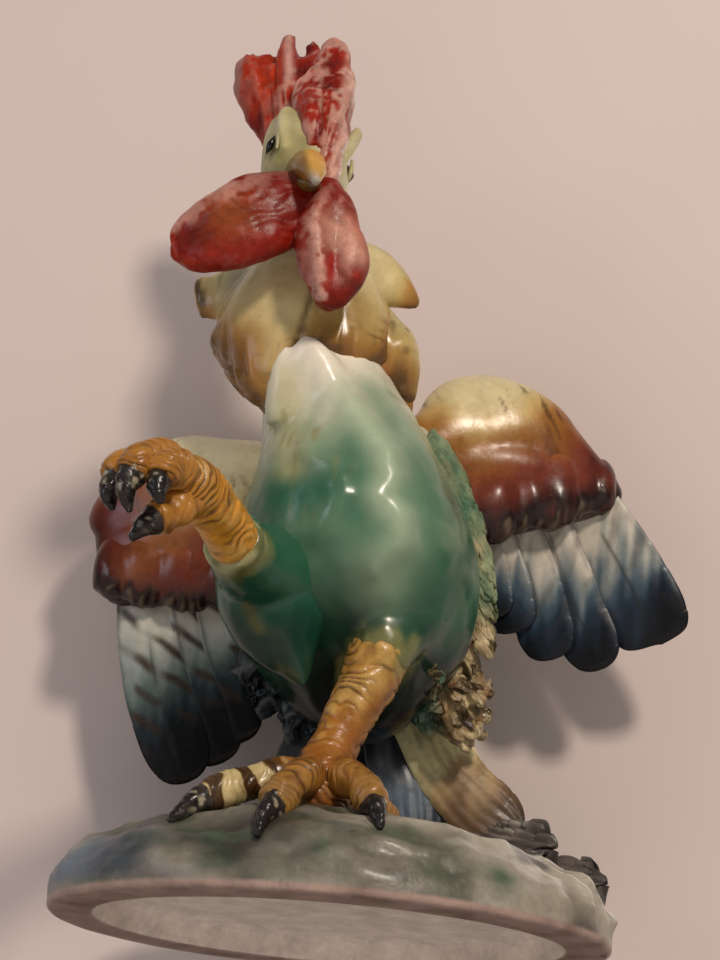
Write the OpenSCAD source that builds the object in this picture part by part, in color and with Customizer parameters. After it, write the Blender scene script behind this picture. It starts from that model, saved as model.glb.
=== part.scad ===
// Glazed ceramic rooster, strutting on one leg with half-open wings, on an oval mound.
// Millimetres. +Z is up, the bird faces -Y and its left side is +X.
// The origin is the centre of the base's foot ring, on the table.

/* [Base] */
// Half length of the oval base, side to side
base_half_length = 80; // [76:1:88]
// Half depth of the oval base, front to back
base_half_depth = 60; // [57:1:68]
// Height of the mound's crest above the table
base_height = 31; // [28:0.5:34]
// Width of the flat foot ring that the base stands on
foot_width = 13; // [10:0.5:18]
// Depth of the hollow under the base
hollow_depth = 8; // [7:0.5:11]

/* [Body] */
// Half width of the body at its widest, below the wings
body_half_width = 38; // [36.5:0.5:39.5]
// Half depth of the body, breast to back
body_half_depth = 43; // [41.5:0.5:44.5]
// Thickness of the cast clay wall
wall = 4.5; // [3.5:0.25:6]
// Diameter of the firing vent under the body
vent_diameter = 6; // [4:0.5:8]

/* [Legs] */
// Radius of the standing shank at its middle
shank_radius = 7; // [6:0.25:8]
// Radius of a toe at its root
toe_radius = 5.2; // [4.5:0.1:5.8]
// Radius of a claw at its root
claw_radius = 3.4; // [2.8:0.1:4]

/* [Neck and head] */
// Half width of the neck below the head
neck_half_width = 17; // [15.5:0.5:18.5]
// How far the hackle capes' scallops rise and fall
scallop = 3; // [1.5:0.25:4]
// Half width of the head
head_half_width = 14.5; // [13.5:0.25:15.5]
// Radius of the comb's lobes where they are thickest
comb_radius = 6.5; // [5.5:0.25:7]
// Half thickness of the wattles
wattle_half_thickness = 6; // [5:0.25:7]
// Half width of the beak at its root
beak_half_width = 7; // [6:0.25:8]
// Diameter of an eye
eye_diameter = 8; // [7:0.25:9]

/* [Wings and tail] */
// Half thickness of the wings' shoulders
wing_half_thickness = 11; // [9.5:0.25:12.5]
// Half thickness of a flight feather
feather_half_thickness = 2.4; // [2:0.1:3]
// Half width of a flight feather
feather_half_width = 8.5; // [7.5:0.25:9.5]
// Half width of a tail feather
tail_half_width = 10; // [8.5:0.25:11.5]
// Half width of a pressed tuft at its root
tuft_half_width = 7; // [6:0.25:8]
// Half thickness of a pressed tuft at its root
tuft_half_thickness = 4; // [3.5:0.1:4.5]
// Half thickness of a tail feather
tail_half_thickness = 3; // [2.6:0.1:3.6]

/* [Hidden] */

// Crest height the bird's own heights below are given for
drawn_height = 31;
// The bird rises and falls with the mound it stands on
lift = [0, 0, base_height - drawn_height];
// Body half width the wings and flank tufts below are given for
drawn_half_width = 38;
// The wing and tufts of each side move with the lift and with that side of the body
left_out = lift + [body_half_width - drawn_half_width, 0, 0];
right_out = lift - [body_half_width - drawn_half_width, 0, 0];
// Points round each section: mound, torso, limbs and small feathers
mound_facets = 44;
torso_facets = 28;
limb_facets = 16;
leaf_facets = 10;
tuft_facets = 8;
beak_facets = 14;
wing_facets = 20;
cape_facets = 36;
ball_facets = 10;

// Share of the crest's height at each share of the oval's radius
mound_rise = [[0, 1], [0.12, 1], [0.28, 0.985], [0.52, 0.92], [0.75, 0.76], [0.9, 0.54],
  [0.985, 0.26], [1, 0.09]];
// Shares of the oval's radius where the mound's rings lie, foot to crest
mound_radii = [1, 0.985, 0.9, 0.75, 0.52, 0.28, 0.12];
// How far the hand-smoothed mound rolls up and down
mound_roll = 0.9;

// Height of the mound's surface, at a share of its radius and an angle
function mound_z(share, angle) = base_height * lookup(share, mound_rise)
  + mound_roll * sin(3 * angle + 40) * sin(180 * min(1, share / 0.985)) * (share > 0.12 ? 1 : 0);

// Height of the mound's surface under a point
function ground(x, y) = let(u = x / base_half_length, v = y / base_half_depth)
  mound_z(min(1, norm([u, v])), atan2(v, u));

// Point on a smooth curve through rows of numbers, t counted in rows
function curve(p, t) = let(n = len(p), i = min(floor(t), n - 2), f = t - i,
  a = p[max(i - 1, 0)], b = p[i], c = p[i + 1], d = p[min(i + 2, n - 1)])
  0.5 * (2 * b + (c - a) * f + (2 * a - 5 * b + 4 * c - d) * f * f
  + (3 * b - a - 3 * c + d) * f * f * f);

// Vector of length one
function unit(v) = v / norm(v);

// Place part of a row
function place(row) = [row[0], row[1], row[2]];

// Direction of the curve through rows at t
function heading(p, t) =
  unit(place(curve(p, min(t + 0.04, len(p) - 1))) - place(curve(p, max(t - 0.04, 0))));

// Closed ring of n points about c
function ring(c, across, over, w, d, n) =
  [for (i = [0 : n - 1]) let(a = 360 * i / n) c + w * cos(a) * across + d * sin(a) * over];

// Ring square to the curve at t, its width lying towards the hint
function cross_ring(p, t, hint, w, d, n) = let(h = heading(p, t), across = unit(hint - (hint * h) * h))
  ring(place(curve(p, t)), across, cross(h, across), w, d, n);

// Half width of a rounded feather at a share of its length
function feather_share(u) = (0.78 + 0.22 * sin(90 * min(1, u / 0.6)))
  * (u > 0.72 ? sqrt(max(0.06, 1 - pow((u - 0.72) / 0.28, 2))) : 1);

// Half width of a ragged tuft at a share of its length
function tuft_share(u) = 0.36 + 0.64 * pow(1 - u, 0.8);

// Way a toe's or claw's section faces
toe_up = [0.1, 0.2, 1];
// Shares of a feather's length where its rings lie
feather_rings = [0, 0.2, 0.4, 0.58, 0.72, 0.84, 0.92, 0.97, 1];

// Solid through equal rings, with flat ends
module loft(rings) {
  n = len(rings[0]);
  m = len(rings);
  sides = [for (j = [0 : m - 2], i = [0 : n - 1])
    each [[j * n + i, (j + 1) * n + i, (j + 1) * n + (i + 1) % n],
      [j * n + i, (j + 1) * n + (i + 1) % n, j * n + (i + 1) % n]]];
  ends = [[for (i = [0 : n - 1]) i], [for (i = [n - 1 : -1 : 0]) (m - 1) * n + i]];
  polyhedron([for (r = rings) each r], concat(sides, ends), convexity = 6);
}

// Solid along rows of x, y, z, half width and half depth
module limb(rows, hint, n, steps) {
  last = len(rows) - 1;
  loft([for (k = [0 : steps]) let(t = last * k / steps, s = curve(rows, t))
    cross_ring(rows, t, hint, max(s[3], 0.5), max(s[4], 0.5), n)]);
}

// Solid of level ovals, rows of x, y, z, half width and half depth, lowest first
module stack(rows, n, steps) {
  last = len(rows) - 1;
  loft([for (k = [0 : steps]) let(s = curve(rows, last * k / steps))
    ring(place(s), [1, 0, 0], [0, 1, 0], s[3], s[4], n)]);
}

// Cape of level ovals, the second row from below being its scalloped rim
module cape(rows, n, waves) {
  loft([for (j = [0 : len(rows) - 1]) let(s = rows[j])
    [for (i = [0 : n - 1]) let(a = 360 * i / n, rim = j == 1 ? scallop : (j == 2 ? scallop / 2 : 0))
      [s[0] + s[3] * cos(a), s[1] + s[4] * sin(a), s[2] + rim * cos(waves * a)]]]);
}

// Flat rounded feather through path, its width lying towards the hint
module feather(path, hint, w, d) {
  last = len(path) - 1;
  loft([for (u = feather_rings)
    cross_ring(path, u * last, hint, w * feather_share(u), d * (1 - 0.45 * u), leaf_facets)]);
}

// Ragged pressed tuft through path
module tuft(path, hint, w, d) {
  last = len(path) - 1;
  loft([for (k = [0 : 4]) let(u = k / 4)
    cross_ring(path, u * last, hint, w * tuft_share(u), d * tuft_share(u), tuft_facets)]);
}

// Toe through path, swollen at its joints
module toe(path, r) {
  last = len(path) - 1;
  loft([for (k = [0 : 8]) let(u = k / 8, s = r * (1 - 0.2 * u) * (1 + 0.06 * cos(1080 * u)))
    cross_ring(path, u * last, toe_up, s, s, leaf_facets)]);
}

// Claw from a toe's end to its point
module claw(path, r) {
  last = len(path) - 1;
  loft([for (k = [0 : 4]) let(u = k / 4, s = r * (1 - 0.82 * pow(u, 1.3)))
    cross_ring(path, u * last, toe_up, s, s, tuft_facets)]);
}

// Mound before its underside is hollowed
module base_form() {
  sides = [for (share = mound_radii)
    [for (i = [0 : mound_facets - 1]) let(a = 360 * i / mound_facets)
      [share * base_half_length * cos(a), share * base_half_depth * sin(a), mound_z(share, a)]]];
  foot = ring([0, 0, 0], [1, 0, 0], [0, 1, 0], base_half_length, base_half_depth, mound_facets);
  loft(concat([foot], sides));
}

// Hollow inside the foot ring
module base_hollow() {
  l = base_half_length - foot_width;
  d = base_half_depth - foot_width;
  loft([
    ring([0, 0, -1], [1, 0, 0], [0, 1, 0], l, d, mound_facets),
    ring([0, 0, hollow_depth * 0.7], [1, 0, 0], [0, 1, 0], l * 0.97, d * 0.97, mound_facets),
    ring([0, 0, hollow_depth], [1, 0, 0], [0, 1, 0], l * 0.9, d * 0.9, mound_facets)
  ]);
}

module base() {
  color("#8d937f") difference() {
    base_form();
    base_hollow();
  }
}

// Torso's level ovals, thinned by a wall
function torso(thin) = let(w = body_half_width, d = body_half_depth) [
  [4, 14, 62 + thin, 0.2 * w - thin / 3, 0.2 * d - thin / 3],
  [3, 13, 66 + thin * 0.8, 0.38 * w - thin * 0.7, 0.38 * d - thin * 0.7],
  [2, 12, 73 + thin * 0.4, 0.58 * w - thin, 0.56 * d - thin],
  [1, 9, 83, 0.82 * w - thin, 0.77 * d - thin],
  [-0.5, 5, 94, 0.96 * w - thin, 0.92 * d - thin],
  [-1, 1, 106, w - thin, d - thin],
  [-2, -1, 119, 0.985 * w - thin, 0.985 * d - thin],
  [-5, -3, 132, 0.92 * w - thin, 0.9 * d - thin],
  [-8, -4, 145, 0.82 * w - thin, 0.78 * d - thin],
  [-11, -5, 157, 0.7 * w - thin, 0.65 * d - thin],
  [-14, -7, 167 - thin * 0.5, 0.58 * w - thin, 0.53 * d - thin],
  [-16, -9, 175 - thin, 0.48 * w - thin, 0.45 * d - thin]];

// Lower end and length of the drill that opens the firing vent
vent_foot = [4, 14, 50];
vent_length = 40;

module body_form() {
  translate(lift) stack(torso(0), torso_facets, 20);
}

module body() {
  color("#6f9d83") difference() {
    body_form();
    translate(lift) stack(torso(wall), 20, 11);
    translate(vent_foot + lift) cylinder(h = vent_length, d = vent_diameter, $fn = 48);
  }
}

module right_thigh_form() {
  translate(lift) limb([[-17, -4, 120, 16, 14], [-21, -11, 107, 20, 18], [-24, -17, 94, 18, 17],
    [-20, -20, 80, 11, 11], [-14, -21, 67, 3, 3]], [1, 0, 0], limb_facets, 10);
}

module right_thigh() {
  color("#2f7a58") difference() {
    right_thigh_form();
    body_form();
  }
}

module left_thigh_form() {
  translate(lift) limb([[19, -2, 116, 14, 14], [17, -6, 106, 19, 19], [14, -12, 93, 16.5, 16.5],
    [10, -18, 82, 11, 11], [8.5, -19.6, 78, 8.4, 8.4]], [1, 0, 0], limb_facets, 9);
}

module left_thigh() {
  color("#5f8f73") difference() {
    left_thigh_form();
    body_form();
  }
}

module left_shank_form() {
  r = shank_radius;
  translate(lift) limb([[10, -18, 84, 1.1 * r, 1.1 * r], [8, -20, 77, 1.14 * r, 1.14 * r],
    [5, -20, 69, 1.1 * r, 1.1 * r], [1.5, -20.5, 60, r, r], [-2.5, -21.5, 50, 0.95 * r, 0.95 * r],
    [-5, -23, 42, 1.15 * r, 1.15 * r], [-6, -24, 35, 1.25 * r, 1.25 * r],
    [-6, -24, 30, 1.05 * r, 1.05 * r]], [1, 0, 0], limb_facets, 14);
}

module left_shank() {
  color("#d2832f") difference() {
    left_shank_form();
    left_thigh_form();
    body_form();
    base_form();
  }
}

// Toe's path over the mound, through pairs of x and y, with its rise above the ground at each
function over_ground(pairs, rises) =
  [for (i = [0 : len(pairs) - 1]) [pairs[i][0], pairs[i][1], ground(pairs[i][0],
    pairs[i][1]) + rises[i]]];

left_inner_path = over_ground([[-6, -22], [-15, -24], [-27, -29], [-38, -34]], [10, 9, 6.5, 4]);
left_middle_path = over_ground([[-6, -25], [-10, -33], [-14.5, -41], [-18, -47.5]], [8, 8.5, 6, 3.6]);
left_outer_path = over_ground([[-5, -24], [1, -31], [6, -38], [9, -44]], [8, 8.5, 7.5, 3.6]);
left_hind_path = over_ground([[-5, -22], [2, -14], [9, -5], [15, 3]], [9, 8, 5.5, 3.6]);
left_inner_claw = over_ground([[-37, -33.5], [-41, -36], [-45.5, -38]], [4, 3.4, 0.8]);
left_middle_claw = over_ground([[-17.5, -46.8], [-19.5, -50.5], [-21, -53.5]], [3.8, 3.4, 0.6]);
left_outer_claw = over_ground([[8.7, -43.2], [10, -46.5], [11, -50]], [3.8, 3.4, 0.6]);
left_hind_claw = over_ground([[14.5, 2.2], [17.5, 6], [20, 9.5]], [3.6, 3, 0.6]);

module left_inner_toe() {
  color("#c98a3a") difference() {
    toe(left_inner_path, toe_radius);
    left_shank_form();
    base_form();
  }
}

module left_middle_toe() {
  color("#c9812f") difference() {
    toe(left_middle_path, toe_radius);
    left_shank_form();
    base_form();
    toe(left_inner_path, toe_radius);
  }
}

module left_outer_toe() {
  color("#c9812f") difference() {
    toe(left_outer_path, toe_radius);
    left_shank_form();
    base_form();
    toe(left_middle_path, toe_radius);
  }
}

module left_hind_toe() {
  color("#c9812f") difference() {
    toe(left_hind_path, toe_radius);
    left_shank_form();
    base_form();
  }
}

module left_claws() {
  color("#2a221c") difference() {
    union() {
      claw(left_inner_claw, claw_radius);
      claw(left_middle_claw, claw_radius);
      claw(left_outer_claw, claw_radius);
      claw(left_hind_claw, claw_radius);
    }
    toe(left_inner_path, toe_radius);
    toe(left_middle_path, toe_radius);
    toe(left_outer_path, toe_radius);
    toe(left_hind_path, toe_radius);
    base_form();
  }
}

module right_shank_form() {
  r = shank_radius;
  translate(lift) limb([[-27, -28, 95, 1.15 * r, 1.15 * r], [-33, -40, 96.5, 1.12 * r, 1.12 * r],
    [-37, -52, 98.5, r, r], [-41.5, -63, 101, r, r],
    [-46, -73, 102.5, 1.12 * r, 1.12 * r], [-49.5, -81, 101, r, r],
    [-51, -85, 100, 0.6 * r, 0.6 * r]], [0.2, 0.1, 1], limb_facets, 12);
}

module right_shank() {
  color("#d08a30") difference() {
    right_shank_form();
    right_thigh_form();
    body_form();
  }
}

right_outer_path = [[-46, -74, 102], [-55.5, -82, 104], [-63, -87.5, 101.5], [-65.6, -90, 95.5]];
right_middle_path = [[-47, -77, 102], [-53.5, -86, 104], [-59, -92.5, 101.5], [-61, -95, 95.5]];
right_inner_path = [[-47, -76, 101], [-50, -86, 102], [-52.6, -92.5, 100], [-53.8, -95, 95]];
right_hind_path = [[-46, -74, 100], [-49, -80, 94.5], [-52.6, -84, 90], [-55, -85.6, 87.6]];
right_outer_claw = [[-65.4, -89.6, 96.5], [-66.6, -91.2, 92], [-64.8, -91.4, 87.2]];
right_middle_claw = [[-60.8, -94.6, 96.5], [-61.8, -96.6, 91], [-60, -96.6, 85]];
right_inner_claw = [[-53.6, -94.6, 96], [-53.6, -97.2, 92], [-52, -97.6, 87.6]];
right_hind_claw = [[-54.6, -85.3, 88], [-57.2, -86.6, 85], [-59.8, -87.4, 80.8]];

module right_outer_toe() {
  color("#d9983c") difference() {
    translate(lift) toe(right_outer_path, toe_radius);
    right_shank_form();
  }
}

module right_middle_toe() {
  color("#d9983c") difference() {
    translate(lift) toe(right_middle_path, toe_radius);
    right_shank_form();
    translate(lift) toe(right_outer_path, toe_radius);
  }
}

module right_inner_toe() {
  color("#d9983c") difference() {
    translate(lift) toe(right_inner_path, toe_radius);
    right_shank_form();
    translate(lift) toe(right_middle_path, toe_radius);
  }
}

module right_hind_toe() {
  color("#d9983c") difference() {
    translate(lift) toe(right_hind_path, toe_radius);
    right_shank_form();
  }
}

module right_claws() {
  color("#1f1a17") translate(lift) difference() {
    union() {
      claw(right_outer_claw, claw_radius);
      claw(right_middle_claw, claw_radius);
      claw(right_inner_claw, claw_radius);
      claw(right_hind_claw, claw_radius);
    }
    toe(right_outer_path, toe_radius);
    toe(right_middle_path, toe_radius);
    toe(right_inner_path, toe_radius);
    toe(right_hind_path, toe_radius);
  }
}

module neck_form() {
  w = neck_half_width;
  translate(lift) stack([[-15, -7, 166, 1.2 * w, 1.1 * w], [-17, -8, 176, 1.15 * w, 1.06 * w],
    [-19, -9, 188, 1.08 * w, w], [-22, -11, 203, w, 0.94 * w], [-25, -15, 217, 0.9 * w, 0.92 * w],
    [-26.5, -19, 226, 0.74 * w, 0.8 * w]], torso_facets, 9);
}

module neck() {
  color("#d9cc8b") difference() {
    neck_form();
    body_form();
  }
}

module upper_hackle_form() {
  translate(lift) cape([[-22, -10, 199, 14, 13], [-24.5, -8, 191, 33.5, 23], [-24, -9.5, 199, 29, 21.5],
    [-24, -12, 209, 22, 19], [-24.5, -14, 217, 17, 16.5], [-25, -15, 220, 13, 13]], cape_facets, 9);
}

module upper_hackle() {
  color("#ddd08f") difference() {
    upper_hackle_form();
    neck_form();
    lower_hackle_form();
  }
}

module lower_hackle_form() {
  translate(lift) cape([[-15, -4, 172, 16, 15], [-16.5, -2, 164, 27, 24], [-17, -4, 173, 28, 25],
    [-19, -6.5, 184, 27, 24], [-21, -9, 194, 23, 21], [-21.5, -10, 199, 17, 15]], cape_facets, 8);
}

module lower_hackle() {
  color("#cf9a55") difference() {
    lower_hackle_form();
    neck_form();
    body_form();
  }
}

module head_form() {
  w = head_half_width;
  translate(lift) stack([[-26, -21, 212, 0.62 * w, 0.68 * w], [-26.5, -24, 218, 0.86 * w, 1.05 * w],
    [-27.5, -27, 226, w, 1.32 * w], [-28.5, -28, 234, 1.02 * w, 1.36 * w],
    [-29.5, -27, 242, 0.94 * w, 1.22 * w], [-30, -25, 248.5, 0.74 * w, 0.95 * w],
    [-30.5, -24, 253, 0.36 * w, 0.5 * w]], torso_facets, 12);
}

module head() {
  color("#d9d6b4") difference() {
    head_form();
    neck_form();
  }
}

module brow_ridges() {
  color("#d5d2ae") difference() {
    translate(lift) {
      limb([[-40.5, -28, 240, 2, 2], [-41, -34, 240.5, 3, 2.6], [-38.5, -40, 239.5, 2.8, 2.4],
        [-35.5, -43, 236, 1.6, 1.4]], [0, 0, 1], leaf_facets, 6);
      limb([[-15.5, -22, 238, 2, 2], [-13.2, -28, 239.5, 3.2, 2.8], [-14.5, -35, 238, 2.8, 2.4],
        [-18, -40, 234, 1.6, 1.4]], [0, 0, 1], leaf_facets, 6);
    }
    head_form();
    eye_forms();
  }
}

module eye_forms() {
  translate(lift) {
    translate([-39.5, -37, 234.5]) sphere(d = eye_diameter, $fn = 24);
    translate([-15.6, -32, 231.5]) sphere(d = eye_diameter, $fn = 24);
  }
}

module eyes() {
  color("#15120f") difference() {
    eye_forms();
    head_form();
  }
}

module upper_beak_form() {
  w = beak_half_width;
  translate(lift) limb([[-27.5, -38, 228.5, 1.05 * w, 0.9 * w], [-26.5, -46, 226.5, w, 0.84 * w],
    [-24.6, -54, 220.5, 0.78 * w, 0.64 * w], [-22.6, -60, 213, 0.45 * w, 0.36 * w],
    [-21.8, -61.5, 208.5, 0.16 * w, 0.16 * w]], [1, 0, 0], beak_facets, 9);
}

module upper_beak() {
  color("#c99a45") difference() {
    upper_beak_form();
    head_form();
  }
}

module lower_beak_form() {
  w = beak_half_width;
  translate(lift) limb([[-26.5, -37, 219.5, 0.86 * w, 0.55 * w], [-25.6, -46, 216.5, 0.76 * w, 0.46 * w],
    [-24, -52.5, 213, 0.5 * w, 0.32 * w], [-23, -56, 211, 0.16 * w, 0.14 * w]],
    [1, 0, 0], beak_facets, 7);
}

module lower_beak() {
  color("#8f7a45") difference() {
    lower_beak_form();
    head_form();
    upper_beak_form();
  }
}

// Ball of the comb, its radius a share of the comb's own
module ball(p, share) {
  translate(p) sphere(r = comb_radius * share, $fn = ball_facets);
}

// Lobe of the comb between two balls
module lobe(p, share_p, q, share_q) {
  hull() {
    ball(p, share_p);
    ball(q, share_q);
  }
}

module comb() {
  color("#b3352a") difference() {
    translate(lift) union() {
      lobe([-23, -44, 234], 0.74, [-22, -40, 249], 0.95);
      lobe([-22, -40, 249], 0.95, [-22.4, -30, 267], 1);
      lobe([-22.4, -30, 267], 1, [-23.6, -24, 281], 0.95);
      lobe([-28, -26, 247], 1.05, [-26, -20, 272], 0.95);
      lobe([-28, -20, 249], 1.05, [-30, -13, 281.5], 0.58);
      lobe([-31, -18, 249], 1.05, [-37.5, -17, 284], 0.58);
      lobe([-34, -16, 247], 1.05, [-42, -14, 262], 1);
      lobe([-42, -14, 262], 1, [-48.2, -14, 276.8], 0.98);
      lobe([-42, -14, 262], 1, [-42.6, -14, 278.6], 0.8);
      lobe([-24, -42, 245], 0.7, [-25, -43, 253], 0.5);
      hull() {
        ball([-22, -40, 249], 0.85);
        ball([-28, -26, 247], 0.9);
        ball([-26, -20, 274], 0.8);
        ball([-22.4, -30, 267], 0.9);
      }
      hull() {
        ball([-28, -20, 249], 0.9);
        ball([-34, -16, 247], 0.9);
        ball([-37, -16, 273], 0.7);
        ball([-28, -16, 274], 0.7);
      }
      hull() {
        ball([-34, -16, 247], 0.9);
        ball([-42, -14, 264], 0.9);
        ball([-47, -14, 276], 0.8);
        ball([-36.5, -16, 275], 0.65);
      }
    }
    head_form();
  }
}

module right_wattle_form() {
  d = wattle_half_thickness;
  translate(lift) limb([[-23, -43, 211, 8, 0.8 * d], [-29, -45, 209, 11.5, d],
    [-38, -47, 203.8, 13.6, 1.08 * d],
    [-48, -47, 198.4, 13.8, 1.05 * d], [-55.5, -46, 195, 11.4, 0.9 * d],
    [-60.5, -45, 193, 6.5, 0.55 * d],
    [-62.8, -44.5, 192.4, 2, 0.25 * d]], [0, 0, 1], limb_facets, 12);
}

module right_wattle() {
  color("#a83a2b") difference() {
    right_wattle_form();
    head_form();
    neck_form();
    upper_beak_form();
    lower_beak_form();
  }
}

module left_wattle() {
  d = wattle_half_thickness;
  color("#a83a2b") difference() {
    translate(lift) limb([[-22.5, -43, 218, 4, 0.7 * d], [-19.5, -46, 209.5, 6.8, 0.9 * d],
      [-16.8, -47, 199.5, 9.4, d], [-14.7, -46.5, 189.5, 10.2, 0.95 * d],
    [-14.4, -46, 181.5, 7.4, 0.7 * d],
      [-14.8, -45.6, 176.8, 2.2, 0.3 * d]], [1, 0, 0], limb_facets, 11);
    head_form();
    neck_form();
    right_wattle_form();
    upper_beak_form();
    lower_beak_form();
  }
}

module left_shoulder_form() {
  t = wing_half_thickness;
  translate(left_out) limb([[12, 13, 162, 12, 0.8 * t], [23, 16, 166, 16.5, t],
    [32, 17.5, 168.5, 19.5, 1.05 * t],
    [42, 18.5, 169, 19.5, 1.05 * t], [52, 20, 166.5, 17, 0.95 * t], [61, 21.5, 162.5, 13, 0.82 * t],
    [70, 23, 159, 8.6, 0.64 * t], [77.5, 24.5, 157, 5, 0.46 * t],
    [81.5, 26, 155.8, 1.8, 0.22 * t]], [0, 0, 1], wing_facets, 12);
}

module left_wing_shoulder() {
  color("#d8a95c") difference() {
    left_shoulder_form();
    body_form();
  }
}

module left_band_form() {
  t = wing_half_thickness;
  translate(left_out) limb([[24, 18, 146, 8, 0.6 * t], [34, 19.5, 144.5, 12.6, 0.82 * t],
    [43, 20.5, 144, 13.2, 0.88 * t],
    [52, 21.5, 145.8, 12.6, 0.88 * t], [63, 23, 149, 10.8, 0.78 * t], [74, 25, 152.6, 8.4, 0.6 * t],
    [80.5, 26.6, 154.4, 4.8, 0.38 * t], [83.4, 27.2, 155.2, 1.8, 0.2 * t]], [0, 0, 1], limb_facets, 12);
}

module left_wing_band() {
  color("#6d2a20") difference() {
    left_band_form();
    left_shoulder_form();
    body_form();
  }
}

left_flight_paths = [
  [[69, 26, 153], [85.5, 28.5, 132.5], [100.5, 30, 109.5]],
  [[61, 26.6, 150], [71.5, 28.6, 122], [77.5, 29.6, 96.5]],
  [[52.5, 25.8, 148], [60, 27.8, 122], [63.6, 28.8, 98.8]],
  [[44.5, 25, 146], [48.5, 26.8, 124], [50, 27.6, 106]],
  [[36, 24, 145], [40, 25.8, 128], [41.6, 26.4, 113]]];
left_flight_shares = [1.3, 0.92, 0.86, 0.8, 0.7];

module left_flight_form(i) {
  translate(left_out) feather(left_flight_paths[i], [1, 0, 0], feather_half_width * left_flight_shares[i],
    feather_half_thickness);
}

module left_flight(i) {
  color("#4f6675") difference() {
    left_flight_form(i);
    left_band_form();
    left_shoulder_form();
    if (i > 0) left_flight_form(i - 1);
    if (i > 3) body_form();
  }
}

module left_flight_1() {
  left_flight(0);
}

module left_flight_2() {
  left_flight(1);
}

module left_flight_3() {
  left_flight(2);
}

module left_flight_4() {
  left_flight(3);
}

module left_flight_5() {
  left_flight(4);
}

module right_shoulder_form() {
  t = wing_half_thickness;
  translate(right_out) limb([[-20, 13, 139, 14, 0.8 * t], [-34, 17, 140.5, 16.5, t],
    [-46, 20, 140, 18.5, 1.02 * t],
    [-57, 22.5, 139, 21, 0.98 * t], [-66, 24.5, 135, 19.5, 0.84 * t], [-73.5, 26, 130.5, 16.5, 0.66 * t],
    [-79.5, 27.5, 126, 12.5, 0.46 * t], [-82.6, 28.2, 123, 7, 0.24 * t]], [0, 0, 1], wing_facets, 12);
}

module right_wing_shoulder() {
  color("#b0683a") difference() {
    right_shoulder_form();
    body_form();
  }
}

module right_band_form() {
  t = wing_half_thickness;
  translate(right_out) limb([[-29, 19, 116, 7, 0.6 * t], [-42, 21.5, 114.5, 10.6, 0.84 * t],
    [-55, 24, 114, 11.4, 0.84 * t],
    [-66, 26, 114, 11, 0.74 * t], [-75, 27.4, 113.6, 11.8, 0.58 * t], [-80.6, 28.2, 113, 9.4, 0.4 * t],
    [-83.2, 28.6, 112.4, 4.5, 0.2 * t]],
    [0, 0, 1], limb_facets, 11);
}

module right_wing_band() {
  color("#6d2a20") difference() {
    right_band_form();
    right_shoulder_form();
    body_form();
  }
}

right_flight_paths = [
  [[-68.5, 28.5, 114], [-61.5, 30.4, 80], [-49.5, 31, 48.5]],
  [[-60.5, 27.9, 114], [-52, 29.8, 83], [-39, 30.4, 55.5]],
  [[-52.5, 27.2, 114], [-45, 29, 87], [-33, 29.6, 62.5]],
  [[-44.5, 26.4, 114], [-38.5, 28, 92], [-28, 28.6, 70]],
  [[-37, 25.4, 114], [-33, 26.8, 97], [-26, 27.4, 79]]];
right_flight_shares = [1.06, 0.96, 0.9, 0.84, 0.78];

module right_flight_form(i) {
  translate(right_out) feather(right_flight_paths[i], [1, 0, 0], feather_half_width * right_flight_shares[i],
    feather_half_thickness);
}

module right_flight(i) {
  color("#6c7472") difference() {
    right_flight_form(i);
    right_band_form();
    right_shoulder_form();
    if (i > 0) right_flight_form(i - 1);
    if (i > 2) body_form();
  }
}

module right_flight_1() {
  right_flight(0);
}

module right_flight_2() {
  right_flight(1);
}

module right_flight_3() {
  right_flight(2);
}

module right_flight_4() {
  right_flight(3);
}

module right_flight_5() {
  right_flight(4);
}

module rump_form() {
  translate(lift) limb([[0, 16, 126, 22, 20], [3, 30, 114, 24, 20], [8, 41, 98, 21, 17],
    [13, 46, 82, 15, 12], [16, 47, 72, 8, 7]], [1, 0, 0], limb_facets, 10);
}

module rump() {
  color("#4d7a6c") difference() {
    rump_form();
    body_form();
  }
}

tail_paths = [
  [[10, 36, 88], [15, 38, 71], [20, 38, 54], [24, 37, 31]],
  [[19, 40, 80], [28, 42, 65], [39, 43, 51.5], [55, 42, 42]],
  [[25, 36, 70], [36, 36, 54], [50, 33.5, 43], [65, 29.5, 37]],
  [[34, 40, 36], [50, 34, 32], [66, 28, 27.5], [80, 24, 26.5]],
  [[2, 42, 90], [-8, 49, 74], [-13, 52, 54], [-15, 48, 24]],
  [[10, 50, 88], [9, 57, 72], [8, 57.5, 52], [8, 51, 22]],
  [[16, 48, 86], [23, 54, 68], [28, 54, 48], [32, 48, 22]]];
tail_hints = [[1, 0, 0], [0.6, 0, 1], [0.6, 0, 1], [0, 0.6, 1], [1, 0, 0], [1, 0, 0], [1, 0, 0]];
tail_shares = [1.1, 0.88, 0.66, 0.86, 1, 1.05, 1];

module tail_form(i) {
  translate(lift) feather(tail_paths[i], tail_hints[i], tail_half_width * tail_shares[i],
    tail_half_thickness);
}

module tail(i, shade) {
  color(shade) difference() {
    tail_form(i);
    body_form();
    rump_form();
    base_form();
    for (j = [0 : 1 : i - 1]) tail_form(j);
  }
}

module tail_1() {
  tail(0, "#5d6f73");
}

module tail_2() {
  tail(1, "#a08a5c");
}

module tail_3() {
  tail(2, "#4c4137");
}

module tail_4() {
  tail(3, "#3c3a38");
}

module tail_5() {
  tail(4, "#31565a");
}

module tail_6() {
  tail(5, "#2c4a52");
}

module tail_7() {
  tail(6, "#51666a");
}

// Tufts through paths moved by out, laid against the body and the rump
module tufts(paths, hint, out) {
  difference() {
    translate(out) for (p = paths) tuft(p, hint, tuft_half_width, tuft_half_thickness);
    body_form();
    rump_form();
  }
}

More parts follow.
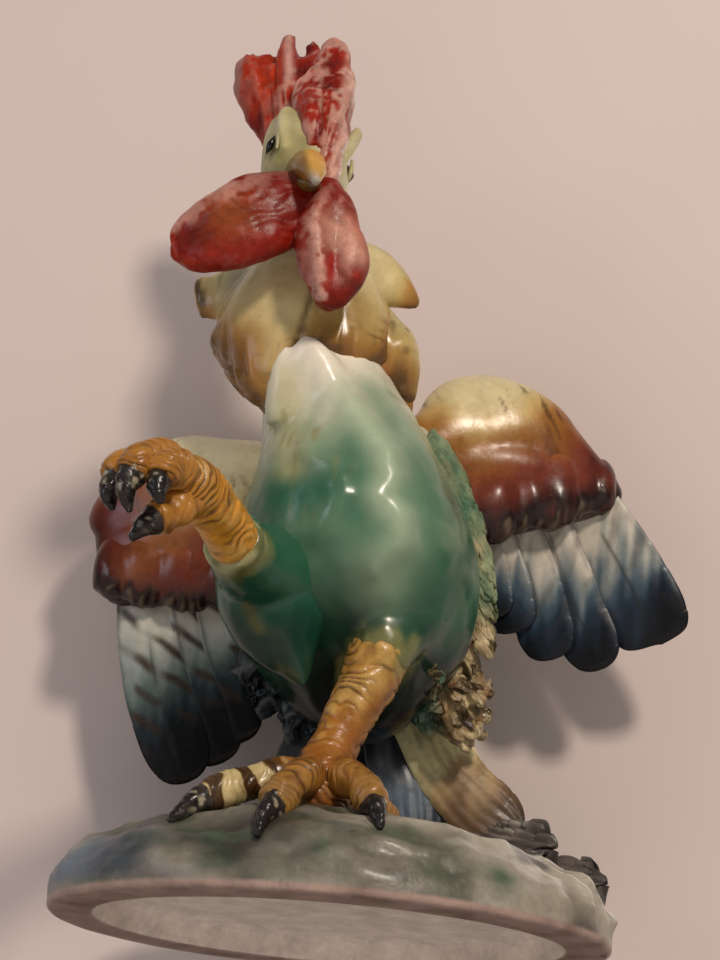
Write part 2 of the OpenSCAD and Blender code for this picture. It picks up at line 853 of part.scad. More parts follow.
module left_flank_tufts() {
  color("#9a8f68") difference() {
    tufts([
      [[28, -4, 130], [36, 4, 123], [41, 10, 114]],
      [[30, 6, 112], [36, 12, 104], [37.5, 15, 94]],
      [[25, 10, 104], [34, 15, 95], [39, 18, 85]],
      [[22, 14, 94], [34, 20, 85], [43, 22, 74]],
      [[18, 16, 86], [30, 22, 75], [38, 25, 62]],
      [[20, -2, 92], [27, 4, 84], [29, 8, 74]],
      [[14, 12, 80], [24, 17, 71], [31, 20, 59]]], [0, 1, 0.3], left_out);
    left_thigh_form();
  }
}

module right_flank_tufts() {
  color("#5d6258") difference() {
    tufts([
      [[-26, 8, 104], [-32, 16, 92], [-33, 21, 80]],
      [[-18, 14, 94], [-25, 22, 82], [-26, 26, 71]],
      [[-10, 14, 86], [-16, 23, 75], [-16, 28, 64]],
      [[-3, 16, 80], [-5, 24, 70], [-5, 28, 60]]], [1, 0, 0.3], right_out);
    right_thigh_form();
  }
}

module rump_tufts() {
  color("#7f7a5a") tufts([
    [[16, 26, 118], [26, 40, 104], [29, 46, 86]],
    [[9, 32, 124], [14, 51, 108], [16, 59, 88]],
    [[-4, 30, 124], [-6, 48, 108], [-8, 56, 88]],
    [[-12, 24, 118], [-20, 37, 103], [-22, 44, 84]]], [1, 0, 0], lift);
}

base();
body();
right_thigh();
left_thigh();
left_shank();
left_inner_toe();
left_middle_toe();
left_outer_toe();
left_hind_toe();
left_claws();
right_shank();
right_outer_toe();
right_middle_toe();
right_inner_toe();
right_hind_toe();
right_claws();
neck();
upper_hackle();
lower_hackle();
head();
brow_ridges();
eyes();
upper_beak();
lower_beak();
comb();
right_wattle();
left_wattle();
left_wing_shoulder();
left_wing_band();
left_flight_1();
left_flight_2();
left_flight_3();
left_flight_4();
left_flight_5();
right_wing_shoulder();
right_wing_band();
right_flight_1();
right_flight_2();
right_flight_3();
right_flight_4();
right_flight_5();
rump();
tail_1();
tail_2();
tail_3();
tail_4();
tail_5();
tail_6();
tail_7();
left_flank_tufts();
right_flank_tufts();
rump_tufts();
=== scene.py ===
"""Glazed ceramic rooster, strutting on one leg with half-open wings, on an oval mound.

Lengths in the classes are millimetres in the part's frame: +Z up, the bird faces -Y and its left
side is +X. Meshes are made in metres.
"""
import logging
import math
from dataclasses import dataclass, field
from enum import Enum

import bpy
import numpy as np
from mathutils import Matrix


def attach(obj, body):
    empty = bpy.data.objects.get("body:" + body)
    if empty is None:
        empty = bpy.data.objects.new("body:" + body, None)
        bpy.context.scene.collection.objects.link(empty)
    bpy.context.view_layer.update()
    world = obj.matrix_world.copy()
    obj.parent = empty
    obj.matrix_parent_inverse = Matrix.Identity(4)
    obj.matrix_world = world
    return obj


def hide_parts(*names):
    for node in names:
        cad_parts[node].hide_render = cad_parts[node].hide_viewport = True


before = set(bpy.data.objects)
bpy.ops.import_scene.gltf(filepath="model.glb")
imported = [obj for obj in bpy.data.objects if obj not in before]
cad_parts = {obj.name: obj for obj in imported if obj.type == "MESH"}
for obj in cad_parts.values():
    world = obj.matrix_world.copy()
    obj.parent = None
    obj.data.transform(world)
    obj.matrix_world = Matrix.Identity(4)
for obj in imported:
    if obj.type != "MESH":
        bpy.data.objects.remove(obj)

LOG = logging.getLogger("rooster")
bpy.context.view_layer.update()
MM = 0.001
TAU = 2.0 * math.pi
Array = np.ndarray
Stops = list[tuple[float, str]]
LATTICE = (374761393, 668265263, 1440662683)
SEED_STEP = 974634777
SCRAMBLE = 1274126177
WORD = 0xFFFFFFFF
LEAST_HALF = 0.3
STROKE_DEPTH = 0.04


class Axis(Enum):
    """Directions that a section's width can lie towards."""

    SIDE = (1.0, 0.0, 0.0)
    UP = (0.0, 0.0, 1.0)
    TOE = (0.1, 0.2, 1.0)
    RAISED = (0.2, 0.1, 1.0)
    LEAF = (0.3, 0.4, 0.85)
    DEPTH = (0.0, 1.0, 0.0)
    INNER_FLANK = (1.0, 0.0, 0.3)
    TAIL_SPREAD = (0.6, 0.0, 1.0)
    TAIL_FLAT = (0.0, 0.6, 1.0)


class Slot(Enum):
    """Material slots of the part's record."""

    MOUND = "mound_glaze"
    GREEN = "green_glaze"
    LEG = "leg_glaze"
    CLAW = "claw_glaze"
    HACKLE = "hackle_glaze"
    CREAM = "cream_glaze"
    EYE = "eye_glaze"
    BEAK = "beak_glaze"
    RED = "red_glaze"
    SHOULDER = "shoulder_glaze"
    OXBLOOD = "oxblood_glaze"
    FLIGHT = "flight_glaze"
    TAIL = "tail_glaze"
    TUFT = "tuft_glaze"


# Colour and noise helpers


def tint(code: str) -> Array:
    """Give the three linear channels of a six-digit hex colour."""
    c = np.array([int(code[i:i + 2], 16) for i in (0, 2, 4)]) / 255.0
    return np.where(c <= 0.04045, c / 12.92, ((c + 0.055) / 1.055) ** 2.4)


@dataclass
class Coat:
    """Glaze colours over a mesh.

    Attributes:
        colour: linear colour at each point.
    """

    colour: Array

    def lay(self, code: str, amount: Array) -> None:
        """Lay a glaze of a hex colour over the others, with its cover at each point, 0 to 1."""
        share = np.clip(amount, 0.0, 1.0)[..., None]
        self.colour = self.colour * (1.0 - share) + tint(code) * share


def run(value: Array, stops: Stops) -> Coat:
    """Let a glaze run through colour stops.

    Args:
        value: number at each point.
        stops: rising values with their hex colours.

    Returns:
        The coat.
    """
    at = [s[0] for s in stops]
    colours = np.array([tint(s[1]) for s in stops])
    return Coat(np.stack([np.interp(value, at, colours[:, k]) for k in range(3)], axis=-1))


def ease(value: Array, low: float, high: float) -> Array:
    """Rise smoothly from 0 where the value is low to 1 where it is high, which may be the lesser."""
    t = np.clip((value - low) / (high - low), 0.0, 1.0)
    return t * t * (3.0 - 2.0 * t)


def spot(points: Array, centre: tuple[float, float, float], radius: float) -> Array:
    """Give a soft round patch about a point, faded by two thirds at the radius in mm."""
    gap = np.linalg.norm(points - np.array(centre), axis=-1)
    return np.exp(-(gap / radius) ** 2)


def gap_to(points: Array, line: list | tuple) -> Array:
    """Give each point's distance to a line, seen from the front.

    Args:
        points: places, mm.
        line: x and z of the line's corners, mm.

    Returns:
        Distance at each point, mm.
    """
    flat = points[..., [0, 2]]
    gap = np.full(points.shape[:-1], np.inf)
    for one, two in zip(np.array(line, float), np.array(line[1:], float)):
        way = two - one
        t = np.clip(((flat - one) @ way) / (way @ way), 0.0, 1.0)
        gap = np.minimum(gap, np.linalg.norm(flat - one - t[..., None] * way, axis=-1))
    return gap


def ridge(points: Array, line: list | tuple, spread: float) -> Array:
    """Give a soft ridge along a line that is seen from the front, 1 on it and a third at the spread."""
    return np.exp(-(gap_to(points, line) / spread) ** 2)


def noise(points: Array, cell: float | tuple[float, float, float], seed: int) -> Array:
    """Give smooth lattice noise.

    Args:
        points: places, mm.
        cell: size of the lattice, mm, one number or one for each axis.
        seed: number that picks the pattern.

    Returns:
        Noise from -1 to 1 at each point.
    """
    q = points / np.array(cell)
    base = np.floor(q).astype(np.int64)
    f = q - base
    f = f * f * (3.0 - 2.0 * f)
    total = np.zeros(points.shape[:-1])
    for corner in range(8):
        step = np.array([corner & 1, corner >> 1 & 1, corner >> 2 & 1])
        k = base + step
        h = sum(k[..., axis] * LATTICE[axis] for axis in range(3)) + seed * SEED_STEP
        h = h & WORD
        h = ((h ^ (h >> 13)) * SCRAMBLE) & WORD
        value = ((h ^ (h >> 16)) & 0xFFFF) / 32767.5 - 1.0
        total += value * np.prod(np.where(step == 1, f, 1.0 - f), axis=-1)
    return total


def blot(points: Array, cell: float | tuple[float, float, float], seed: int, low: float,
         high: float) -> Array:
    """Give soft blots, which rise from 0 where the noise is low to 1 where it is high."""
    return ease(noise(points, cell, seed), low, high)


# Meshes


@dataclass
class Skin:
    """Closed mesh with numbers at its points.

    Attributes:
        points: places, mm.
        quads: corners of the four-sided faces.
        tris: corners of the three-sided faces.
        along: distance along the piece at each point, mm.
        across: distance across the piece at each point, mm.
        relief: how far each point was pushed out or in, mm.
        share: share of the piece's length at each point, 0 to 1.
    """

    points: Array
    quads: Array
    tris: Array
    along: Array
    across: Array
    relief: Array
    share: Array

    def normals(self) -> Array:
        """Give the outward direction at each point."""
        p = self.points
        out = np.zeros_like(p)
        a, b, c, d = (p[self.quads[:, k]] for k in range(4))
        flat = np.cross(c - a, d - b)
        for k in range(4):
            np.add.at(out, self.quads[:, k], flat)
        if len(self.tris):
            a, b, c = (p[self.tris[:, k]] for k in range(3))
            flat = np.cross(b - a, c - a)
            for k in range(3):
                np.add.at(out, self.tris[:, k], flat)
        return out / (np.linalg.norm(out, axis=1, keepdims=True) + 1e-12)

    def push(self, amount: Array) -> None:
        """Move each point outwards by an amount in mm."""
        self.points = self.points + self.normals() * amount[:, None]
        self.relief = self.relief + amount

    def smooth(self, passes: int) -> None:
        """Even the surface out by averaging neighbours."""
        pairs = np.concatenate([self.quads[:, [k, (k + 1) % 4]] for k in range(4)])
        count = np.zeros(len(self.points))
        np.add.at(count, pairs[:, 0], 1.0)
        np.add.at(count, pairs[:, 1], 1.0)
        for _ in range(passes):
            total = np.zeros_like(self.points)
            np.add.at(total, pairs[:, 0], self.points[pairs[:, 1]])
            np.add.at(total, pairs[:, 1], self.points[pairs[:, 0]])
            self.points = 0.5 * self.points + 0.5 * total / count[:, None]


def join(skins: list[Skin]) -> Skin:
    """Put several meshes into one without welding them.

    Args:
        skins: the meshes.

    Returns:
        One mesh.
    """
    quads, tris, shift = [], [], 0
    for s in skins:
        quads.append(s.quads + shift)
        tris.append(s.tris + shift)
        shift += len(s.points)
    stack = {k: np.concatenate([getattr(s, k) for s in skins])
             for k in ("points", "along", "across", "relief", "share")}
    return Skin(quads=np.concatenate(quads), tris=np.concatenate(tris), **stack)


def bare(points: Array, quads: Array, tris: Array) -> Skin:
    """Make a mesh of places in mm and faces, whose point numbers are all zero."""
    zero = np.zeros(len(points))
    return Skin(points, quads, tris, zero, zero.copy(), zero.copy(), zero.copy())


@dataclass
class Grid:
    """Rings of points that make a loft.

    Attributes:
        xyz: places by ring and point, mm.
        u: share of the length at each ring.
        a: angle round the section at each point, radians.
        length: length of the path, mm.
        width: half width at each ring, mm.
        relief: how far each point was pushed out or in, mm.
    """

    xyz: Array
    u: Array
    a: Array
    length: float
    width: Array
    relief: Array = field(default_factory=lambda: np.zeros((1, 1)))

    def normals(self) -> Array:
        """Give the outward direction at each point."""
        along = np.gradient(self.xyz, axis=0)
        around = np.roll(self.xyz, -1, 1) - np.roll(self.xyz, 1, 1)
        out = np.cross(around, along)
        return out / (np.linalg.norm(out, axis=-1, keepdims=True) + 1e-12)

    def push(self, amount: Array) -> None:
        """Move each point outwards by an amount in mm at each ring and point."""
        amount = np.broadcast_to(amount, self.xyz.shape[:2])
        self.xyz = self.xyz + self.normals() * amount[..., None]
        self.relief = self.relief + amount

    def skin(self) -> Skin:
        """Close the rings into a mesh with rounded ends."""
        m, n = self.xyz.shape[:2]
        j, i = np.meshgrid(np.arange(m - 1), np.arange(n), indexing="ij")
        k = (i + 1) % n
        quads = np.stack([j * n + i, j * n + k, (j + 1) * n + k, (j + 1) * n + i], -1).reshape(-1, 4)
        ring = np.arange(n)
        nxt = (ring + 1) % n
        first = np.stack([np.full(n, m * n), nxt, ring], -1)
        last = np.stack([np.full(n, m * n + 1), (m - 1) * n + ring, (m - 1) * n + nxt], -1)
        ends = np.stack([self.xyz[0].mean(0), self.xyz[-1].mean(0)])
        u = np.broadcast_to(self.u, (m, n))
        side = np.cos(self.a) * self.width
        relief = np.broadcast_to(self.relief, (m, n))

        def flat(field_: Array, one: float, two: float) -> Array:
            """Flatten a field and add its two end values."""
            return np.concatenate([np.broadcast_to(field_, (m, n)).ravel(), [one, two]])

        return Skin(np.concatenate([self.xyz.reshape(-1, 3), ends]), quads,
                    np.concatenate([first, last]), flat(u * self.length, 0.0, self.length),
                    flat(side, 0.0, 0.0), flat(relief, 0.0, 0.0), flat(u, 0.0, 1.0))


def curve(rows: Array, t: Array) -> Array:
    """Follow a smooth curve through rows of numbers.

    Args:
        rows: one row for each station.
        t: places along it, counted in rows.

    Returns:
        One row for each place.
    """
    p = np.asarray(rows, float)
    last = len(p) - 1
    i = np.clip(np.floor(t).astype(int), 0, last - 1)
    f = (t - i)[:, None]
    a, b, c, d = p[np.maximum(i - 1, 0)], p[i], p[i + 1], p[np.minimum(i + 2, last)]
    return 0.5 * (2 * b + (c - a) * f + (2 * a - 5 * b + 4 * c - d) * f ** 2
                  + (3 * b - a - 3 * c + d) * f ** 3)


def unit(v: Array) -> Array:
    """Scale vectors to length one."""
    return v / (np.linalg.norm(v, axis=-1, keepdims=True) + 1e-12)


def sections(path: Array, hint: tuple[float, float, float]) -> tuple[Array, Array, float]:
    """Give the two directions of each section along a path.

    Args:
        path: places along the path, mm.
        hint: way the section's width lies towards.

    Returns:
        Width direction, depth direction and the path's length.
    """
    h = unit(np.gradient(path, axis=0))
    hint_v = np.array(hint)
    across = unit(hint_v - (h @ hint_v)[:, None] * h)
    length = float(np.linalg.norm(np.diff(path, axis=0), axis=1).sum())
    return across, np.cross(h, across), length


def limb(rows: list, hint: Axis, rings: int, points: int) -> Grid:
    """Loft ovals square to a path.

    Args:
        rows: x, y, z, half width and half depth at each station, mm.
        hint: way the width lies towards.
        rings: number of rings.
        points: points round each ring.

    Returns:
        The loft.
    """
    u = np.linspace(0.0, 1.0, rings)
    s = curve(rows, u * (len(rows) - 1))
    across, over, length = sections(s[:, :3], hint.value)
    a = np.arange(points) * TAU / points
    w = np.maximum(s[:, 3:4], LEAST_HALF)
    d = np.maximum(s[:, 4:5], LEAST_HALF)
    xyz = s[:, None, :3] + (w * np.cos(a))[..., None] * across[:, None] \
        + (d * np.sin(a))[..., None] * over[:, None]
    return Grid(xyz, u[:, None], a[None, :], length, w)


def stack(rows: list, rings: int, points: int) -> Grid:
    """Loft level ovals, lowest first.

    Args:
        rows: x, y, z, half width and half depth at each station, mm.
        rings: number of rings.
        points: points round each ring.

    Returns:
        The loft.
    """
    u = np.linspace(0.0, 1.0, rings)
    s = curve(rows, u * (len(rows) - 1))
    a = np.arange(points) * TAU / points
    w, d = s[:, 3:4], s[:, 4:5]
    xyz = np.stack([s[:, 0:1] + w * np.cos(a), s[:, 1:2] + d * np.sin(a),
                    np.broadcast_to(s[:, 2:3], (rings, points))], -1)
    return Grid(xyz, u[:, None], a[None, :], float(s[-1, 2] - s[0, 2]), w)


def capsule(p: tuple, r_p: float, q: tuple, r_q: float) -> Skin:
    """Make a rounded, tapered rod between two points.

    Args:
        p: first end's centre, mm.
        r_p: first end's radius, mm.
        q: second end's centre, mm.
        r_q: second end's radius, mm.

    Returns:
        The mesh.
    """
    p_v, q_v = np.array(p, float), np.array(q, float)
    h = unit(q_v - p_v)
    side = unit(np.cross(h, [0.31, 0.87, 0.38]))
    over = np.cross(h, side)
    count, around = 15, 20
    a = np.arange(around) * TAU / around
    rings = []
    for angle in np.linspace(-0.5 * math.pi, 0.5 * math.pi, count):
        centre, r = (p_v, r_p) if angle < 0 else (q_v, r_q)
        c = centre + h * r * math.sin(angle)
        k = max(r * math.cos(angle), 0.02)
        rings.append(c + k * (np.cos(a)[:, None] * side + np.sin(a)[:, None] * over))
    u = np.linspace(0, 1, count)[:, None]
    return Grid(np.array(rings), u, a[None, :], 1.0, np.full((count, 1), r_p)).skin()


def add_object(name: str, data: bpy.types.ID) -> bpy.types.Object:
    """Put an object with its data into the scene and give it."""
    obj = bpy.data.objects.new(name, data)
    bpy.context.scene.collection.objects.link(obj)
    return obj


def fuse(skins: list[Skin], voxel: float, passes: int) -> Skin:
    """Melt overlapping meshes into one surface.

    Args:
        skins: closed meshes.
        voxel: size of the melted surface's cells, mm.
        passes: how often the surface is evened out.

    Returns:
        One mesh of four-sided faces.
    """
    whole = join(skins)
    mesh = bpy.data.meshes.new("melt")
    mesh.from_pydata(whole.points.tolist(), [], whole.quads.tolist() + whole.tris.tolist())
    obj = add_object("melt", mesh)
    modifier = obj.modifiers.new("melt", "REMESH")
    modifier.mode = "VOXEL"
    modifier.voxel_size = voxel
    solid = obj.evaluated_get(bpy.context.evaluated_depsgraph_get()).to_mesh()
    points = np.empty(len(solid.vertices) * 3)
    solid.vertices.foreach_get("co", points)
    faces = [tuple(f.vertices) for f in solid.polygons]
    quads = np.array([f for f in faces if len(f) == 4], dtype=int).reshape(-1, 4)
    tris = np.array([f for f in faces if len(f) == 3], dtype=int).reshape(-1, 3)
    bpy.data.objects.remove(obj)
    bpy.data.meshes.remove(mesh)
    out = bare(points.reshape(-1, 3), quads, tris)
    out.smooth(passes)
    return out


def feather_share(u: Array) -> Array:
    """Give a rounded feather's half width at shares of its length."""
    body = 0.78 + 0.22 * np.sin(0.5 * math.pi * np.minimum(1.0, u / 0.6))
    tip = np.sqrt(np.maximum(0.004, 1.0 - (np.maximum(u - 0.72, 0.0) / 0.28) ** 2))
    return body * tip


@dataclass(frozen=True)
class Vane:
    """Shape of a feather's blade.

    Attributes:
        half_width: greatest half width, mm.
        half_thick: half thickness at the root, mm.
        shaft: height of the shaft's ridge, mm.
        cup: how far the edges bend back, as a share of the half width.
        notch: depth of the nicks along the edge, as a share of the half width.
        teeth: number of nicks along each edge.
        fan: how far the blade widens to its tip, 0 for a rounded feather and 1 for a shard.
        ragged: depth of the tears in the tip, as a share of the length.
        edge: how square the edge is, 0 for a plate and 1 for an oval.
        slant: how much shorter one side is than the other, as a share of the length.
    """

    half_width: float
    half_thick: float
    shaft: float = 0.5
    cup: float = 0.1
    notch: float = 0.03
    teeth: float = 9.0
    fan: float = 0.0
    ragged: float = 0.0
    edge: float = 0.7
    slant: float = 0.0

    def outline(self, u: Array) -> Array:
        """Give the half width in mm at shares of the length."""
        shard = (0.5 + 0.5 * u) * np.sqrt(np.maximum(0.02, 1.0 - (np.maximum(u - 0.93, 0.0) / 0.07) ** 2))
        return self.half_width * ((1.0 - self.fan) * feather_share(u) + self.fan * shard)


def blade(path: list, hint: Axis | tuple, vane: Vane, seed: int, rings: int = 110,
          points: int = 64) -> Grid:
    """Loft a feather with a raised shaft, nicked edges and a whole or torn tip.

    Args:
        path: places along the shaft, mm.
        hint: way the blade's width lies towards.
        vane: shape of the blade.
        seed: number that picks the nicks and tears.
        rings: number of rings.
        points: points round each ring.

    Returns:
        The loft.
    """
    u = np.sin(np.linspace(0.0, 0.5 * math.pi, rings))
    a = np.arange(points) * TAU / points
    s, c = np.sin(a)[None, :], np.cos(a)[None, :]
    uu = u[:, None]
    tear = 0.5 + 0.3 * np.sin(c * 5.3 + seed) + 0.2 * np.sin(c * 13.7 + 2.3 * seed)
    at = uu * (1.0 - vane.ragged * tear - vane.slant * (0.5 - 0.5 * c))
    last = len(path) - 1
    line = curve(path, u * last)
    across, over, length = sections(line, hint.value if isinstance(hint, Axis) else hint)
    shaft = curve(path, (at * last).ravel()).reshape(rings, points, 3)
    side = np.where(c > 0, 1.0, -1.0)
    phase = uu * vane.teeth + 0.13 * side + 0.3 * np.sin(7.0 * uu + seed)
    saw = phase - np.floor(phase)
    wide = vane.outline(uu) * (1.0 - vane.notch * (saw ** 3) * ease(uu, 0.15, 0.5))
    thick = vane.half_thick * (1.0 - 0.45 * uu) * np.abs(s) ** vane.edge * np.sign(s)
    thick = thick * np.minimum(1.0, np.sqrt(np.maximum(0.02, (1.0 - uu) / 0.06)))
    quill = vane.shaft * np.exp(-(c / 0.11) ** 2) * np.sign(s) * (1.0 - uu ** 6)
    bend = -vane.cup * c ** 2 * vane.outline(uu)
    xyz = shaft + (wide * c)[..., None] * across[:, None] + (thick + quill + bend)[..., None] * over[:,
                                                                                                     None]
    return Grid(xyz, uu, a[None, :], length, np.full((rings, 1), vane.half_width))


def chain(rows: list) -> list[Skin]:
    """Make a row of rounded rods through stations of x, y, z and radius in mm."""
    return [capsule(one[:3], one[3], two[:3], two[3]) for one, two in zip(rows, rows[1:])]


def crumple(paths: list, start: float, end: float, seed: int) -> Skin:
    """Press clay into a torn, folded mass along some lines.

    Args:
        paths: middle line of each lump, mm.
        start: radius at the lines' roots, mm.
        end: radius at their ends, mm.
        seed: number that picks the folds.

    Returns:
        The mesh.
    """
    parts = []
    for path in paths:
        parts += chain([(*place, r) for place, r in zip(path, np.linspace(start, end, len(path)))])
    skin = fuse(parts, 0.75, 3)
    p = skin.points
    fold = 1.0 - 2.0 * np.abs(noise(p, (4.0, 4.0, 6.0), seed))
    tear = 1.0 - 2.0 * np.abs(noise(p, (1.7, 1.7, 3.6), seed + 1))
    skin.push(1.8 * fold + 1.0 * tear - 0.8)
    skin.along, skin.across = skin.points[:, 2].copy(), skin.points[:, 0] + skin.points[:, 1]
    return skin


def leaves(paths: list, hint: Axis | tuple, width: float, seed: int, rings: int = 50,
           points: int = 44) -> Skin:
    """Press a row of small torn feathers.

    Args:
        paths: shaft of each feather, mm.
        hint: way their width lies towards.
        width: their half width, mm.
        seed: number that picks their tears.
        rings: number of rings along each.
        points: number of points round each.

    Returns:
        The mesh.
    """
    parts = []
    for k, path in enumerate(paths):
        vane = Vane(width * (1.0 + 0.2 * math.sin(2.7 * k)), 1.1, shaft=0.15, cup=0.16, notch=0.22,
                    teeth=5.0, fan=0.5, ragged=0.26)
        grid = blade(path, hint, vane, seed + k, rings, points)
        p = grid.xyz
        grid.push(0.16 * np.sin(np.cos(grid.a) * vane.half_width * TAU / 2.6
                                + 3.0 * noise(p, 5.0, seed + k)) + 0.7 * noise(p, 4.5, seed + 1))
        parts.append(grid.skin())
    return join(parts)


# Finishes


class NodeSheet:
    """Short way to place and join shader nodes in a tree."""

    def __init__(self, tree: bpy.types.NodeTree) -> None:
        """Keep the tree that nodes are placed in."""
        self.tree = tree

    def add(self, kind: str, sockets: dict | None = None, **props) -> bpy.types.Node:
        """Place a node.

        Args:
            kind: Blender's name of the node.
            sockets: values of, or links to, its inputs by name or number.
            **props: the node's own settings.

        Returns:
            The node.
        """
        node = self.tree.nodes.new(kind)
        for name, value in props.items():
            setattr(node, name, value)
        self.wire(node, sockets or {})
        return node

    def wire(self, node: bpy.types.Node, sockets: dict) -> None:
        """Set a node's inputs.

        Args:
            node: the node.
            sockets: values of, or links to, its inputs by name or number.
        """
        for key, value in sockets.items():
            if isinstance(value, bpy.types.NodeSocket):
                self.tree.links.new(value, node.inputs[key])
            else:
                node.inputs[key].default_value = value

    def math(self, op: str, one: object, two: object = 0.0) -> bpy.types.NodeSocket:
        """Place a sum of two numbers or links, by Blender's name for it, and give its result."""
        return self.add("ShaderNodeMath", {0: one, 1: two}, operation=op).outputs[0]

    def spread(self, value: object, low: object, high: object, to_low: object,
               to_high: object) -> bpy.types.NodeSocket:
        """Map a number or link from the range low to high onto another range and give the result."""
        node = self.add("ShaderNodeMapRange", {0: value, 1: low, 2: high, 3: to_low, 4: to_high})
        return node.outputs[0]


def blank(block: bpy.types.Material | bpy.types.World) -> NodeSheet:
    """Clear the nodes of a material or world and give its sheet."""
    block.use_nodes = True
    block.node_tree.nodes.clear()
    return NodeSheet(block.node_tree)


def group(name: str, inputs: list[tuple[str, str]], outputs: list[tuple[str, str]]) \
        -> tuple[bpy.types.NodeTree, NodeSheet, bpy.types.Node, bpy.types.Node]:
    """Start a shader node group.

    Args:
        name: the group's name.
        inputs: names and kinds of its inputs.
        outputs: names and kinds of its outputs.

    Returns:
        The group, its sheet, its input node and its output node.
    """
    tree = bpy.data.node_groups.new(name, "ShaderNodeTree")
    for way, sockets in (("INPUT", inputs), ("OUTPUT", outputs)):
        for label, kind in sockets:
            tree.interface.new_socket(label, in_out=way, socket_type="NodeSocket" + kind)
    sheet = NodeSheet(tree)
    return tree, sheet, sheet.add("NodeGroupInput"), sheet.add("NodeGroupOutput")


def mottle_group() -> bpy.types.NodeTree:
    """Make the pooled, speckled variation of a fired glaze.

    Returns:
        A group that takes a colour and gives colour, roughness and height.
    """
    tree, sheet, given, out = group(
        "glaze_mottle",
        [("Colour", "Color"), ("Scale", "Float"), ("Amount", "Float"), ("Low", "Float"), ("High", "Float"),
         ("Specks", "Float")],
        [("Colour", "Color"), ("Roughness", "Float"), ("Height", "Float")])
    where = sheet.add("ShaderNodeTexCoord").outputs["Object"]
    clouds = []
    for finer, detail in ((1.0, 3.0), (4.3, 2.0), (11.0, 1.0)):
        scale = sheet.math("MULTIPLY", given.outputs["Scale"], finer)
        pattern = sheet.add("ShaderNodeTexNoise", {"Vector": where, "Scale": scale, "Detail": detail})
        clouds.append(pattern.outputs[0])
    cloud, fine, speck = clouds
    both = sheet.math("ADD", sheet.math("MULTIPLY", cloud, 0.66), sheet.math("MULTIPLY", fine, 0.34))
    dark = sheet.math("SUBTRACT", 1.0, given.outputs["Amount"])
    light = sheet.math("ADD", 1.0, given.outputs["Amount"])
    level = sheet.spread(both, 0.34, 0.66, dark, light)
    pin = sheet.spread(speck, 0.66, 0.74, 1.0, sheet.math("SUBTRACT", 1.0, given.outputs["Specks"]))
    shade = sheet.math("MULTIPLY", level, pin)
    colour = sheet.add("ShaderNodeVectorMath", {0: given.outputs["Colour"], "Scale": shade},
                       operation="SCALE")
    rough = sheet.spread(both, 0.35, 0.65, given.outputs["Low"], given.outputs["High"])
    height = sheet.math("ADD", cloud, sheet.math("MULTIPLY", fine, 0.25))
    sheet.wire(out, {"Colour": colour.outputs[0], "Roughness": rough, "Height": height})
    return tree


def stroke_group() -> bpy.types.NodeTree:
    """Make brush strokes that follow a piece's length.

    Returns:
        A group that takes a colour and gives colour and mask.
    """
    tree, sheet, given, out = group(
        "brush_strokes", [("Colour", "Color"), ("Stroke", "Color"), ("Along", "Float"), ("Across", "Float"),
                          ("Cover", "Float")], [("Colour", "Color"), ("Mask", "Float")])
    along = sheet.add("ShaderNodeAttribute", attribute_name="along").outputs["Fac"]
    across = sheet.add("ShaderNodeAttribute", attribute_name="across").outputs["Fac"]
    x = sheet.math("DIVIDE", across, given.outputs["Across"])
    y = sheet.math("DIVIDE", along, given.outputs["Along"])
    where = sheet.add("ShaderNodeTexCoord").outputs["Object"]
    side = sheet.add("ShaderNodeSeparateXYZ", {0: where}).outputs[0]
    place = sheet.add("ShaderNodeCombineXYZ", {0: x, 1: y, 2: sheet.math("MULTIPLY", side, 14.0)})
    pattern = sheet.add("ShaderNodeTexNoise", {"Vector": place.outputs[0], "Scale": 1.0, "Detail": 3.0,
                                               "Distortion": 0.6})
    edge = sheet.spread(given.outputs["Cover"], 0.0, 1.0, 0.8, 0.36)
    top = sheet.math("ADD", edge, 0.1)
    mask = sheet.spread(pattern.outputs[0], edge, top, 0.0, 1.0)
    soft = sheet.math("MULTIPLY", mask, 0.85)
    mix = sheet.add("ShaderNodeMix", {0: soft, 6: given.outputs["Colour"], 7: given.outputs["Stroke"]},
                    data_type="RGBA")
    sheet.wire(out, {"Colour": mix.outputs[2], "Mask": mask})
    return tree


class Groups:
    """Shader node groups, each built once."""

    mottle: bpy.types.NodeTree
    strokes: bpy.types.NodeTree

    @classmethod
    def build(cls) -> None:
        """Build the groups that the finishes share."""
        cls.mottle = mottle_group()
        cls.strokes = stroke_group()


